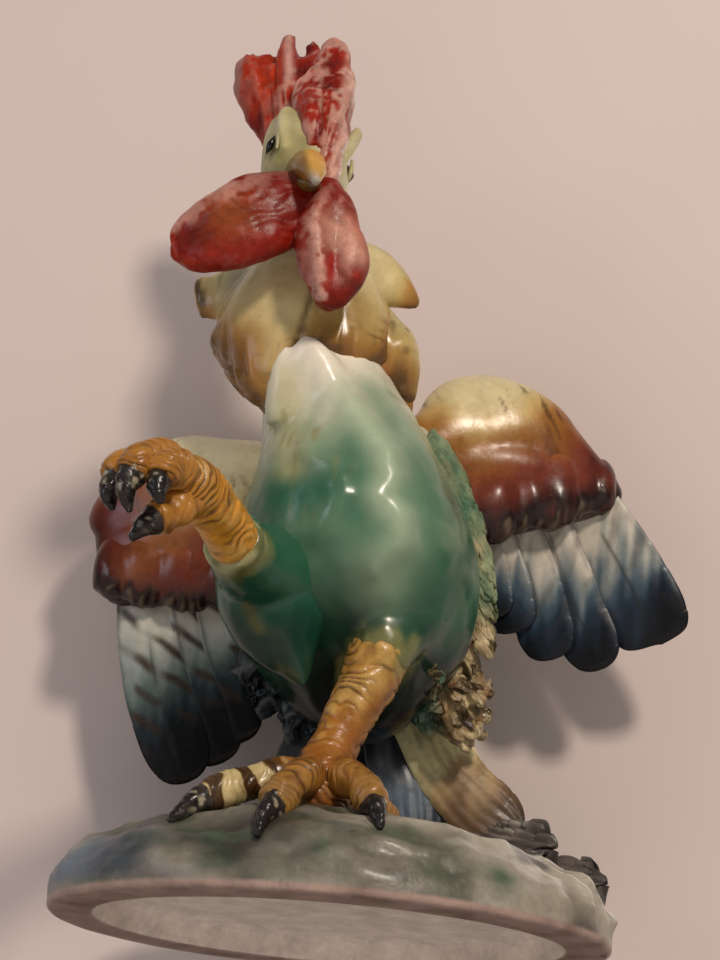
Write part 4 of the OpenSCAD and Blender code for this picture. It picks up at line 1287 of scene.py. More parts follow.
@dataclass
class Hackle:
    """Soft neck feathers melted into one mass.

    Attributes:
        name: the solid that it takes the place of.
        core: level ovals under the feathers.
        petals: way that each feather's width lies and its stations.
        hem: x and z of the lower edge.
        seed: number that picks its wobble.
    """

    name: str
    core: list
    petals: list[tuple[Axis, list]]
    hem: list
    seed: int

    def build(self, shop: Workshop) -> None:
        """Build and dress the feathers.

        Args:
            shop: maker of pieces.
        """
        parts = [stack(self.core, 40, 64).skin()] + [limb(rows, hint, 44, 40).skin() for hint,
                                                     rows in self.petals]
        skin = fuse(parts, 0.9, 11)
        p = skin.points
        crease = np.exp(-((p[:, 0] + 21.5 - 0.16 * (p[:, 2] - 190.0)) / 0.9) ** 2) * ease(-p[:, 1], 20, 26)
        swell = noise(p, (14, 14, 11), self.seed + 7)
        edge = p[:, 2] - np.interp(p[:, 0], *np.array(self.hem, float).T)
        torn = ease(edge, 13, 1) * blot(p, (2.2, 2.2, 15), self.seed + 11, 0.05, 0.4)
        skin.push(0.9 * swell + 0.6 * noise(p, (5, 5, 16), self.seed)
                  + 0.16 * noise(p, (2.4, 2.4, 7), self.seed + 1) + 0.9 - 1.4 * crease - 0.7 * torn)
        q = skin.points
        x, y, z = q.T
        skin.along, skin.across = z.copy(), x + 0.5 * y
        t = z - np.interp(x, *np.array(self.hem, float).T) + 3.5 * noise(q, (8, 8, 12), self.seed + 2)
        paint = run(t, [(0, "6b4a22"), (3, "93672f"), (8, "ad8747"), (14, "c4aa6c"), (22, "cfbb82"),
                        (44, "d5c594")])
        paint.lay("8d8458", 0.5 * blot(q, (10, 10, 7), self.seed + 4, 0.25, 0.8))
        paint.lay("a56a2a", 0.5 * blot(q, (9, 9, 14), self.seed + 5, 0.0, 0.5) * ease(t, 16, 6))
        paint.lay("4a3018", 0.6 * blot(q, (6, 6, 1.6), self.seed + 3, 0.45, 0.75) * ease(t, 20, 8))
        dash = blot(q, (2.0, 2.0, 8), self.seed + 9, 0.38, 0.62) * blot(q, 13.0, self.seed + 10, -0.3, 0.3)
        paint.lay("4d3a1c", 0.7 * dash * ease(t, 34, 18))
        # Painted shade in the torn notches of the hem.
        paint.lay("4a3418", 0.45 * torn)
        paint.lay("3d2c14", 0.85 * crease * blot(q, (3, 3, 8), self.seed + 6, -0.6, 0.2))
        paint.lay("3f2d16", 0.9 * ease(x, -54.5, -57.5) * blot(q, 3.0, self.seed + 8, -0.8, 0.2))
        # Painted shade: grey patch on the hollow between the flared lip and the neck, under the right
        # wattle.
        paint.lay("70706a", 0.7 * spot(q, (-44, -16, 197), 9.0))
        paint.lay("8a6830", 0.7 * spot(q, (-8, -28, 185), 9.0))
        paint.lay("ead9a2", 0.7 * spot(q, (-34, -29, 183), 9.0))
        paint.lay("8f5f2a", 0.85 * spot(q, (-40, -27, 170), 10.0))
        shop.piece(self.name, skin, paint, Slot.HACKLE)


def upper_hackle() -> Hackle:
    """Give the upper cape, with its flared tips."""
    return Hackle("upper_hackle", [[-22, -9.4, 162, 14, 13], [-22.4, -10, 167, 22, 18.4],
                                   [-22.6, -10.4, 172, 26.5, 20.8], [-22.8, -10.2, 179, 28.4, 21],
                                   [-23, -10.5, 186, 27.5, 21], [-23.5, -11.5, 194, 24.5, 19.5],
                                   [-24, -12.5, 203, 19.5, 17], [-25, -14.5, 212, 14.5, 14],
                                   [-25.5, -16, 221, 11, 11]],
                  [(Axis.UP, [[-16, -12, 206, 13, 9], [-6, -10.5, 206.5, 11.5, 6.5],
                              [1, -9.2, 205, 8.6, 4.6], [6.4, -8.4, 202.4, 5.4, 3],
                              [9.8, -8, 200, 2.8, 1.8], [11.4, -8, 198.4, .8, .8]]),
                   (Axis.UP, [[-34, -13, 200, 12, 9], [-44, -11, 197.4, 9.6, 6], [-51, -9.4, 195.4, 8, 4],
                              [-56, -8.4, 194.6, 7.6, 3], [-58.8, -8, 194, 7.4, 2.8]]),
                   (Axis.UP, [[-36, -15, 186, 10, 8], [-44, -13.5, 181.4, 7.6, 6.4],
                              [-49.4, -12.4, 177.2, 4.8, 4.6], [-51.6, -12, 174.6, 2, 2]]),
                   (Axis.SIDE, [[-28, -14, 190, 14, 11], [-31, -17.5, 180, 14.5, 11],
                                [-32.2, -19.8, 171, 13.4, 10.4], [-32, -21, 163.5, 11, 8.8],
                                [-31, -21.6, 157, 7, 6], [-30, -21.8, 153, 3, 3], [-29.6, -22, 151, 1, 1]]),
                   (Axis.SIDE, [[-24, -5, 214, 9, 7], [-24, 4, 205, 13, 8.5], [-24, 10, 196, 12, 6.4],
                                [-24, 14, 187, 1, 1]]), (Axis.DEPTH,
                                                         [[-32, -8, 212, 8, 8], [-42, -1, 203, 11, 8],
                                                          [-47, 3, 195, 9, 6], [-50, 5.4, 187, 1, 1]]),
                   (Axis.DEPTH, [[-17, -8, 212, 8, 8], [-8, -1, 203, 11, 8], [-2, 3, 196, 9, 6],
                                 [2, 5.4, 189, 1, 1]])], [(-60, 186), (-54, 180), (-50, 174), (-44, 167),
                                                          (-38, 157), (-31, 150), (-25, 160), (-20, 170),
                                                          (-12, 170), (-7, 167), (0, 172), (4, 184),
                                                          (8, 194), (12, 197)], 75)


def lower_hackle() -> Hackle:
    """Give the lower cape, over the shoulders."""
    return Hackle("lower_hackle", [[-17, -5, 164, 17, 16], [-18, -6.5, 171, 23, 19],
                                   [-18.5, -7.5, 179, 25.5, 20], [-20, -9, 190, 21, 18.5],
                                   [-22, -11, 202, 15, 14]],
                  [(Axis.SIDE, [[-29, -12, 186, 12, 10], [-32, -15, 175, 12, 9], [-32.6, -16.6, 167, 10, 8],
                                [-31.2, -18, 160, 7, 6], [-29.4, -19.4, 154, 3.4, 3.4],
                                [-28.6, -20, 151.4, 1.2, 1.2]]),
                   (Axis.SIDE, [[-6, -12, 186, 12, 10], [2, -13, 178, 10.6, 8], [7.4, -12, 171.4, 6.4, 5.4],
                                [10.4, -10.8, 167, 3, 2.8], [11.6, -10, 163.8, 1, 1]]),
                   (Axis.SIDE, [[-17, 4, 190, 15, 12], [-16, 14, 177, 16, 9], [-16, 20, 167, 9, 5],
                                [-16, 22.4, 160.6, 1, 1]]), (Axis.DEPTH,
                                                             [[-30, 0, 190, 11, 10], [-34, 4, 181, 9, 8],
                                                              [-36, 6, 174, 4, 4], [-36.4, 7, 171, 1, 1]]),
                   (Axis.DEPTH, [[-6, 0, 188, 11, 10], [3, 5, 177, 11, 8], [8, 8, 168, 5, 4],
                                 [9.6, 9, 163.4, 1, 1]])], [(-50, 172), (-44, 166), (-40, 158), (-35, 152),
                                                            (-30, 159), (-20, 164), (-5, 166), (2, 168),
                                                            (8, 167), (12, 163)], 83)


@dataclass
class Neck:
    """Neck post under its two layers of feathers."""

    half_width: float = 17.0

    def build(self, shop: Workshop) -> None:
        """Build and dress the neck and its feathers.

        Args:
            shop: maker of pieces.
        """
        w = self.half_width
        grid = stack(
            [[-15, -7, 166, 1.2 * w, 1.1 * w], [-17, -8, 176, 1.15 * w, 1.06 * w],
             [-19, -9, 188, 1.08 * w, w], [-22, -11, 203, w, .94 * w], [-25, -15, 217, .9 * w, .92 * w],
             [-26.5, -19, 226, .74 * w, .8 * w]], 80, 96)
        grid.push(0.9 * noise(grid.xyz, (7, 7, 26), 71))
        skin = grid.skin()
        paint = run(noise(skin.points, 9.0, 72), [(-0.8, "9c8246"), (0.0, "bda870"), (0.8, "c8b788")])
        shop.piece("neck", skin, paint, Slot.HACKLE)
        for cape in (upper_hackle(), lower_hackle()):
            cape.build(shop)


@dataclass
class Head:
    """Head with its brows, eyes, beak, comb and wattles."""

    half_width: float = 14.5
    beak: float = 7.0
    wattle: float = 6.0

    def build(self, shop: Workshop) -> None:
        """Build and dress the head's pieces in order.

        Args:
            shop: maker of pieces.
        """
        self.skull(shop)
        self.eyes(shop)
        self.bill(shop)
        self.crest(shop)
        self.wattles(shop)

    def skull(self, shop: Workshop) -> None:
        """Build and dress the head and its brow ridges."""
        w = self.half_width
        grid = stack([[-26, -21, 212, .62 * w, .68 * w], [-26.5, -24, 218, .86 * w, 1.05 * w],
                      [-27.3, -27, 226, .97 * w, 1.32 * w], [-28, -28, 234, .96 * w, 1.36 * w],
                      [-29.3, -27, 242, .86 * w, 1.22 * w], [-30.6, -25, 248.5, .66 * w, .95 * w],
                      [-31.4, -24, 253, .34 * w, .5 * w], [-31.6, -24, 254, .1 * w, .12 * w]], 110, 130)
        p = grid.xyz
        sockets = 1.5 * spot(p, (-39, -41.5, 233.2), 4.0) + 0.8 * spot(p, (-14, -28, 233), 4.5)
        sockets -= 1.5 * ridge(p, [(-35, 250), (-36, 242), (-35.6, 235), (-34, 230)],
                               1.7) * ease(-p[..., 1], 30, 38)
        grid.push(0.4 * noise(p, 7.0, 101) + 0.2 * noise(p, (2.6, 2.6, 6), 102) - sockets)
        skin = grid.skin()
        q = skin.points
        paint = run(noise(q, 7.0, 103) + 0.5 * skin.relief, [(-1.2, "857c50"), (-0.2, "b3a877"),
                                                             (0.5, "c2b78a"), (1.2, "ccc29b")])
        paint.lay("b3a868", 0.5 * ease(q[:, 2], 226, 214))
        paint.lay("c4bb62", 0.5 * spot(q, (-37, -44, 229), 4.0) + 0.4 * spot(q, (-36.6, -43.6, 235), 2.0))
        shop.piece("head", skin, paint, Slot.CREAM)
        brows = [[[-37.4, -38, 243.4, .5, .5], [-36.4, -41.6, 240, 1.1, 1.2], [-36, -43.4, 235.6, 1.2, 1.2],
                  [-36.6, -43.4, 230.4, .5, .5]],
                 [[-17.4, -36.4, 228, .9, .9], [-16.2, -35, 234, 1.9, 1.7], [-14.4, -32.4, 240.4, 2.3, 2.1],
                  [-12.9, -30.2, 246, 2.2, 2], [-12.7, -29.6, 248.6, 1.1, 1.1]],
                 [[-13.4, -30, 237, .4, .4], [-13.4, -30.4, 232.6, .9, .8], [-14, -30, 229, .4, .4]]]
        parts = []
        for k, rows in enumerate(brows):
            ridge_line = limb(rows, Axis.UP, 54, 28)
            ridge_line.push(0.18 * noise(ridge_line.xyz, 3.0, 105 + k))
            parts.append(ridge_line.skin())
        skin = join(parts)
        paint = run(noise(skin.points, 5.0, 104), [(-0.8, "a89d6c"), (0.0, "bdb285"), (0.8, "c8be97")])
        shop.piece("brow_ridges", skin, paint, Slot.CREAM)

    def eyes(self, shop: Workshop) -> None:
        """Build and dress the two almond eyes."""
        parts = []
        for centre, lean, half in (((-38.9, -40.4, 233.4), (0.34, -0.24, 0.91), 1.15),
                                   ((-14.7, -27.4, 233.0), (0.05, -0.2, 0.96), 2.3)):
            c, e = np.array(centre), unit(np.array(lean))
            rows = [[*(c + e * t), half * math.cos(t / 3.2 * 1.5), half * math.cos(t / 3.2 * 1.5)]
                    for t in np.linspace(-3.2, 3.2, 9)]
            grid = limb(rows, Axis.SIDE, 40, 36)
            grid.push(0.04 * noise(grid.xyz, 1.5, 111))
            parts.append(grid.skin())
        skin = join(parts)
        paint = run(noise(skin.points, 2.5, 112), [(-0.8, "050505"), (0.8, "15120f")])
        shop.piece("eyes", skin, paint, Slot.EYE)

    def bill(self, shop: Workshop) -> None:
        """Build and dress the hooked beak."""
        w = self.beak
        upper = limb([[-27.3, -38, 225.4, .86 * w, .74 * w], [-26.6, -46, 223.6, .8 * w, .7 * w],
                      [-25.2, -53, 218.8, .68 * w, .58 * w], [-23.6, -58, 213.6, .44 * w, .4 * w],
                      [-22.9, -60.4, 209.4, .16 * w, .18 * w]], Axis.SIDE, 70, 56)
        p = upper.xyz
        dents = spot(p, (-32, -47, 225), 2.0) + spot(p, (-20.6, -46, 223.6), 2.0)
        upper.push(0.3 * noise(p, 4.0, 121) - 1.1 * dents)
        lower = limb(
            [[-26.5, -37, 219.5, .76 * w, .5 * w], [-25.8, -46, 216.6, .64 * w, .4 * w],
             [-24.6, -52, 213.4, .4 * w, .28 * w], [-23.8, -55, 211.6, .14 * w, .12 * w]], Axis.SIDE, 50,
            44)
        lower.push(0.25 * noise(lower.xyz, 4.0, 122))
        for name, grid, dark in (("upper_beak", upper, 0.0), ("lower_beak", lower, 0.8)):
            skin = grid.skin()
            q = skin.points
            x, y, _ = q.T
            paint = run(skin.share + 0.12 * noise(q, 5.0, 123), [
                (0.0, "b59a58"), (0.2, "d4a448"), (0.5, "dba444"), (0.82, "c4964a"), (1.0, "a89478")])
            paint.lay("5e4018", 0.75 * ease(x + 0.26 * (y + 38.0), -30.0, -32.4))
            paint.lay("cfb184", 0.6 * ease(x + 0.24 * (y + 38.0), -25.4, -22.6))
            paint.lay("c6c0b6", spot(q, (-22.8, -60.8, 209), 1.6))
            # Painted shade: the lower beak, under the upper one, gets dark brown at its share of 0.8.
            paint.lay("4a371c", np.full(len(q), dark))
            shop.piece(name, skin, paint, Slot.BEAK)

    def crest(self, shop: Workshop) -> None:
        """Build and dress the fleshy comb."""
        spines = [
            [(-19, -43.4, 218, 2.6), (-19.8, -43.2, 225, 3.2), (-20.2, -43, 232, 4), (-19.8, -40, 241, 4.8),
             (-20, -35.6, 253.4, 5.2), (-20.4, -31.6, 264, 5), (-21.4, -28.6, 274, 4.6),
             (-22.9, -26.4, 280.8, 3.3)], [(-24.6, -43.6, 232.6, 2.8), (-25.2, -42.6, 238, 4),
                                           (-25.6, -40, 245, 4.6), (-26, -34, 256, 4.8),
                                           (-26.4, -28, 268, 4.4), (-26.2, -25, 277, 3.2)],
            [(-17.6, -36, 244, 3), (-18.4, -31, 258, 3.2), (-19.4, -27.4, 271, 3)],
            [(-28.5, -22, 252, 5.6), (-28.8, -22.6, 268, 4.2), (-29.8, -22, 279, 3.2),
             (-30.2, -22, 283.4, 2.2)], [(-31.5, -21, 250, 7), (-34, -21.6, 262, 6.6),
                                         (-36, -21.6, 272, 5.5), (-37.4, -22, 280, 3.9),
                                         (-37.8, -22, 285.4, 2.3)],
            [(-24.6, -46, 232, 2.4), (-26, -46, 238, 3.4), (-27.2, -44, 244, 4.2), (-28, -38, 250, 4.8),
             (-29, -29, 261, 5)], [(-34, -16, 247, 6.6), (-41.5, -14.5, 260, 6.8), (-47.6, -14, 272, 6.8),
                                   (-48.8, -14, 277.8, 5.8)],
            [(-41, -14.5, 262, 6.4), (-44, -14, 274, 6), (-44.6, -14, 280, 4.6)],
            [(-40, -15, 262, 6), (-40.4, -15.6, 274, 5), (-40.2, -15.6, 280.2, 3.8)]]
        webs = [((-22, -38, 247), (-28, -28, 248), (-28, -24, 274), (-22.6, -28, 274), 5),
                ((-27, -30, 248), (-33, -22, 248), (-36, -22, 272), (-28, -24.4, 274), 5.2),
                ((-34, -19, 247), (-41, -16.4, 260), (-45, -15.6, 273), (-37.4, -19.4, 273), 5.4)]
        parts = [rod for rows in spines for rod in chain(rows)]
        for one, two, three, four, r in webs:
            o, t, h, f = (np.array(k, float) for k in (one, two, three, four))
            for k in np.linspace(0.0, 1.0, 5):
                parts.append(capsule(tuple(o + (f - o) * k), r, tuple(t + (h - t) * k), r))
        skin = fuse(parts, 0.65, 4)
        p = skin.points
        ray = np.stack([15.0 * np.arctan2(p[:, 0] + 27.0, p[:, 2] - 190.0),
                        np.hypot(p[:, 0] + 27.0, p[:, 2] - 190.0) / 22.0, p[:, 1] / 9.0], -1)
        folds = 1.0 - 2.0 * np.abs(noise(ray, 1.0, 131))
        strands = 1.0 - 2.0 * np.abs(noise(ray * [3.2, 1.6, 1.6], 1.0, 132))
        skin.push(0.8 * folds + 0.5 * strands + 0.25 * noise(p, 4.0, 133))
        q = skin.points
        x, y, _ = q.T
        skin.along, skin.across = ray[:, 1] * 22.0, ray[:, 0] * 5.0
        left = ease(x, -36.0, -43.0)
        right = ease(x, -25.0, -18.0)
        high = 0.8 * folds + 0.6 * strands - 0.1 * left + 0.25 * right
        paint = run(noise(q, 6.0, 135) + 0.6 * folds, [(-1.0, "5c1008"), (-0.2, "8a1b0a"), (0.8, "9e270d")])
        paint.lay("ab300c", 0.8 * left * blot(q, 7.0, 136, -0.7, 0.3))
        self.rub(paint, q, high, 0.8 - 0.6 * left + 0.15 * right, 134)
        paint.lay("d9ae9d", 0.75 * ease(x, -20.0, -16.0) * blot(q, (4, 4, 9), 137, -0.5, 0.3))
        paint.lay("a8766c", 0.7 * ease(x, -51.5, -54.0))
        # Painted highlight: a pale line down the front of the tall middle spike.
        paint.lay("c9a193", 0.75 * ridge(q, [(-36.4, 268), (-38.4, 287)], 1.6) * ease(-y, 20, 23))
        shop.piece("comb", skin, paint, Slot.RED)

    def wattles(self, shop: Workshop) -> None:
        """Build and dress the two wattles."""
        d = self.wattle
        right = limb(
            [[-23, -43, 212, 8, .8 * d], [-29.1, -44.5, 210, 11.6, d],
             [-37.4, -46.5, 205.2, 13.8, 1.08 * d], [-45.5, -47, 199.6, 13.4, 1.08 * d],
             [-53.2, -46.6, 195.8, 12.4, d], [-59.1, -45.6, 193.2, 10.4, .84 * d],
             [-62.4, -45, 191.8, 7.6, .62 * d], [-64.2, -44.8, 191, 4, .4 * d],
             [-64.9, -44.8, 190.8, 1.2, .2 * d]], Axis.UP, 160, 120)
        p = right.xyz
        side = np.cos(right.a) * right.width
        facing = ease(-right.normals()[..., 1], 0.1, 0.7)
        dish = 1.5 * np.exp(-((side - 1.0) / 5.5) ** 2) * ease(right.u, 0.2, 0.42) * ease(right.u, 0.96,
                                                                                          0.8)
        flute = 0.35 * noise(np.stack([np.broadcast_to(right.u * 9.0, side.shape), side / 2.2,
                                       p[..., 1] / 9.0], -1), 1.0, 141)
        root = 0.18 * np.sin(side * TAU / 4.4 + 3.0 * noise(p, 5.0, 149)) * ease(right.u, 0.42, 0.2)
        right.push((flute + root - dish) * facing + 0.7 * noise(p, (12, 12, 7), 142)
                   + 0.2 * noise(p, 3.0, 143))
        left = limb(
            [[-20, -43, 218, 4.2, .7 * d], [-19, -45.6, 209.6, 8, .9 * d], [-18.2, -47, 199.5, 10.4, d],
             [-15.8, -47, 192.1, 10.8, .98 * d], [-14.9, -46.6, 186, 9.8, .9 * d],
             [-15.4, -46, 180.3, 6.6, .7 * d], [-17, -45.6, 175.8, 2.4, .35 * d]], Axis.SIDE, 140, 110)
        p = left.xyz
        spine = ridge(p, [(-20.5, 212), (-22, 200), (-20, 188), (-17.6, 178)], 2.4)
        hollow = ridge(p, [(-15.5, 203), (-14.5, 184)], 3.2)
        left.push(0.8 * noise(p, (8, 8, 14), 144) + 0.22 * noise(p, 3.0, 145) - 1.3 * hollow + 1.2 * spine)
        for name, grid, pale, seed in (("right_wattle", right, 0.45, 146),
                                       ("left_wattle", left, 0.95, 156)):
            skin = grid.skin()
            q = skin.points
            paint = run(noise(q, 8.0, seed + 1) + 0.4 * skin.relief,
                        [(-1.0, "5a1008"), (0.0, "7f1b0d"), (0.8, "94290f")])
            self.rub(paint, q, 0.8 * skin.relief, pale, seed)
            if name == "right_wattle":
                self.rub(paint, q, ease(skin.across, 2.0, 9.0) + 0.2, 0.75 * ease(skin.across, 2.0, 8.0),
                         148)
                paint.lay("96532a", 0.6 * spot(q, (-48, -53, 200), 8) + 0.12 * spot(q, (-36, -53, 205), 6))
                paint.lay("6e150d", 0.75 * ease(skin.share, 0.36, 0.14))
                paint.lay("84190f", 0.7 * ease(skin.across, -6.0, -11.0))
            else:
                paint.lay("d39c86", 0.8 * spot(q, (-14, -54, 199), 7.5) + 0.65 * spot(q, (-9, -52, 191), 6))
                paint.lay("98140b", 0.9 * ridge(q, [(-16, 190), (-15.5, 183)], 1.8)
                          + 0.75 * spot(q, (-8, -50, 185), 2.6))
                # Darker red at the root and on the left face; the left face's darkening is partly the
                # glaze's dark red, partly painted shade.
                paint.lay("7a180f", 0.75 * ease(skin.share, 0.34, 0.1)
                          + 0.6 * ease(skin.across, -4.0, -8.0))
            shop.piece(name, skin, paint, Slot.RED)

    def rub(self, paint: Coat, points: Array, height: Array, amount: float | Array, seed: int) -> None:
        """Rub the red glaze through to the pale clay where the height is great, up to an amount."""
        grain = 0.7 * noise(points, 5.0, seed) + 0.7 * noise(points, 1.7, seed + 5)
        paint.lay("c08e7e", amount * ease(height + grain, 0.25, 1.1))


@dataclass
class Wing:
    """Half-open wing: shoulder, scalloped band and five flight feathers."""

    name: str
    shoulder: list
    band: list
    flights: list
    shares: list
    lobes: list
    fill: list
    hem: list
    patches: list
    runs: dict[str, Stops]
    barred: float
    ragged_tint: float
    thick: float = 11.0
    feather_width: float = 8.5
    feather_thick: float = 1.3

    def build(self, shop: Workshop) -> None:
        """Build and dress the wing.

        Args:
            shop: maker of pieces.
        """
        self.cover(shop)
        self.scallops(shop)
        for i, (path, share) in enumerate(zip(self.flights, self.shares)):
            self.flight(shop, i, path, share)

    def drop(self, points: Array) -> Array:
        """Give each point's distance from the wing's hem with the glaze's own wander, mm."""
        return gap_to(points, self.hem) + 2.6 * noise(points, (6, 8, 10), 163) + 1.2 * noise(
            points, (1.8, 6, 9), 165)

    def dapple(self, paint: Coat, points: Array) -> None:
        """Lay the wing's own soft patches of colour at the points."""
        for x, z, radius, code in self.patches:
            gap = (points[:, 0] - x) ** 2 + (points[:, 2] - z) ** 2
            paint.lay(code, 0.8 * np.exp(-gap / radius ** 2))

    def cover(self, shop: Workshop) -> None:
        """Build and dress the shoulder, running down behind the scallops.

        Args:
            shop: maker of pieces.
        """
        t = self.thick
        forms = [limb([[*q[:4], q[4] * t] for q in rows], Axis.UP, 90, 72)
                 for rows in (self.shoulder, self.band, self.fill)]
        skin = fuse([f.skin() for f in forms], 1.0, 9)
        p = skin.points
        skin.push(0.8 * noise(p, (12, 16, 16), 161) + 0.05 * noise(p, (3.2, 8, 12), 162))
        q = skin.points
        x, y, z = q.T
        drop = self.drop(q)
        paint = run(drop, self.runs["cover"])
        lean = np.stack([x + 0.45 * z, y, z], -1)
        dash = blot(lean, (1.2, 6, 7), 164, 0.22, 0.5) * ease(drop, 46, 34) * ease(drop, 8, 16)
        paint.lay("4f2c12", 0.7 * dash * blot(q, 15.0, 166, -0.35, 0.2))
        self.dapple(paint, q)
        skin.along, skin.across = z.copy(), x.copy()
        shop.piece(self.name + "_wing_shoulder", skin, paint, Slot.SHOULDER)

    def scallops(self, shop: Workshop) -> None:
        """Build and dress the band of rounded feathers with its torn fringe.

        Args:
            shop: maker of pieces.
        """
        parts = []
        for x, y, z, w in self.lobes:
            h = w / 9.5
            rows = [[x, y + 1, z + 20 * h, .6 * w, 3], [x, y - 1.4, z + 11 * h, w, 4.6],
                    [x, y - 3.6, z + 2 * h, 1.1 * w, 5], [x, y - 3.6, z - 6 * h, 1.06 * w, 4.8],
                    [x, y - 1.8, z - 11 * h, .9 * w, 3.6], [x, y - .8, z - 14 * h, .4 * w, 1.6]]
            parts.append(limb(rows, Axis.SIDE, 40, 44).skin())
        skin = fuse(parts, 0.8, 12)
        p = skin.points
        bottom = np.interp(p[:, 0], *np.array(sorted((q[0], q[2] - 1.37 * q[3]) for q in self.lobes)).T)
        fringe = ease(p[:, 2] - bottom, 6.5, 0.0)
        strands = 0.5 * np.sin(p[:, 0] * TAU / 4.3 + 6.0 * noise(p, 6.0, 171)) + 1.5 * noise(p, (1.5, 5, 9),
                                                                                             174)
        skin.push(0.6 + 0.6 * noise(p, (7, 9, 9), 172) + 0.32 * fringe * strands)
        q = skin.points
        paint = run(self.drop(q), self.runs["cover"])
        self.dapple(paint, q)
        paint.lay("170b08", 0.85 * ease(fringe + 0.3 * strands, 0.5, 0.85))
        paint.lay("7d6a52", 0.5 * ease(fringe + 0.3 * strands, 1.05, 1.35))
        skin.along, skin.across = q[:, 2].copy(), q[:, 0].copy()
        shop.piece(self.name + "_wing_band", skin, paint, Slot.OXBLOOD)

    def flight(self, shop: Workshop, i: int, path: list, share: float) -> None:
        """Build and dress one flight feather.

        Args:
            shop: maker of pieces.
            i: which feather it is, from the tip.
            path: its shaft, mm.
            share: its half width against the wing's own.
        """
        broad = 0.3 if (self.name, i) == ("left", 0) else 0.0
        vane = Vane(self.feather_width * share, self.feather_thick, shaft=0.2, cup=0.06, notch=0.02,
                    teeth=6.0, edge=0.4, fan=broad, slant=0.1 * broad)
        grid = blade(path, (1.0, -0.24 if self.name == "left" else -0.15, 0.0), vane, 180 + i, 130, 72)
        p = grid.xyz
        flute = np.sin(np.cos(grid.a) * vane.half_width * TAU / 5.2 + noise(p, (8, 8, 20), 182 + i))
        grid.push(0.06 * flute * ease(grid.u, 0.95, 0.6) + 0.4 * noise(p, (9, 9, 20), 181 + i))
        skin = grid.skin()
        q = skin.points
        s = skin.share + self.ragged_tint * (noise(q, (6, 8, 12), 190 + i)
                                             + 0.8 * noise(q, (1.8, 6, 16), 193 + i))
        paint = run(s, self.runs["flight"])
        edge = ease(np.abs(skin.across) / vane.half_width, 0.72, 0.95)
        paint.lay("3a3a38", 0.5 * edge * ease(s, 0.9, 0.5) * blot(q, (5, 5, 9), 195 + i, -0.5, 0.4))
        vein = np.exp(-(skin.across / 0.8) ** 2) * blot(q, (5, 5, 9), 197 + i, -0.6, 0.3)
        paint.lay("2a2c2c", 0.65 * vein * ease(s, 0.06, 0.2) * ease(s, 0.85, 0.6))
        lean = skin.along + 0.9 * skin.across * (1.0 if self.name == "left" else -1.0) + 2.2 * noise(
            q, 9.0, 200 + i)
        bars = ease(np.sin(lean * TAU / 10.0 + 1.3 * i), 0.0, 1.0) * blot(q, (5, 8, 7), 210 + i, -0.4, 0.3)
        paint.lay("3d3026", self.barred * bars * ease(s, 0.04, 0.16) * ease(s, 0.82, 0.6))
        label = f"{self.name}_flight_{i + 1}"
        shop.piece(label, skin, paint, Slot.FLIGHT)


def left_wing() -> Wing:
    """Give the wing on the bird's left, lit and wide open."""
    return Wing("left", [[12, 13, 156, 9, .8], [22, 16, 161, 14, 1], [31, 17.5, 167, 19, 1.05],
                         [41, 18.5, 169, 20, 1.05], [52, 20, 166.5, 17, .95], [61, 21.5, 162.5, 13, .82],
                         [70, 23, 159, 8.6, .64], [77.5, 24.5, 157, 5, .46], [81.5, 26, 155.8, 1.8, .22]],
                [[24, 18, 146, 8, .6], [34, 19.5, 144.5, 10.4, .82], [43, 20.5, 144.6, 10.4, .88],
                 [52, 21.5, 147, 10, .88], [63, 23, 150, 8.6, .78], [74, 25, 153, 7, .6],
                 [80.5, 26.6, 154.4, 4.8, .38], [83.4, 27.2, 155.2, 1.8, .2]],
                [[[69, 26, 153], [84.6, 28.4, 129], [97.4, 30, 105]],
                 [[58.5, 27, 144], [68.2, 29.2, 119.5], [79, 30.2, 95.5]],
                 [[48.6, 26.4, 142], [57, 28.4, 118], [63.3, 29.4, 97]],
                 [[40.4, 25.6, 140], [46.6, 27.4, 120], [50.6, 28.2, 104.5]],
                 [[35, 24.6, 140], [40.6, 26.4, 122], [43.4, 27, 108]]], [1.66, 1.12, 1.1, 1.02, .92],
                [(26, 17, 143.6, 8.4), (38, 15.2, 142.4, 9.4), (48, 18.4, 145.6, 7),
                 (58.5, 18.8, 149.6, 8.6), (68, 23.2, 152.4, 5.4), (75.5, 25.6, 153.8, 4.8)],
                [[20, 15.5, 155, 10, .75], [32, 18, 156, 12.5, .98], [43, 19, 156.4, 12.5, 1.02],
                 [54, 20.4, 156, 11, .95], [66, 22.5, 155.4, 8, .72], [76, 25, 155.6, 5, .46],
                 [80, 26, 155.6, 2, .3]], [(14, 139), (31, 132), (36, 131.8), (47, 136), (61, 143.5),
                                           (73, 148), (82.5, 152), (83.5, 157), (79, 162)],
                [(20, 155, 9, "a8742f"), (27, 146, 7, "8a4c20")],
                {"cover": [(0, "1a0b08"), (3, "45180f"), (7, "672818"), (12, "74321f"), (16, "824620"),
                           (21, "8d5720"), (26, "9f6d30"), (31, "c7a869"), (37, "d6c698"), (60, "dbcea6")],
                 "flight": [(0.0, "dbd2c2"), (0.31, "cdc5b6"), (0.44, "878d8b"), (0.55, "4a5c68"),
                            (0.66, "233443"), (0.78, "19202a"), (0.9, "13161a")]}, 0.35, 0.13)


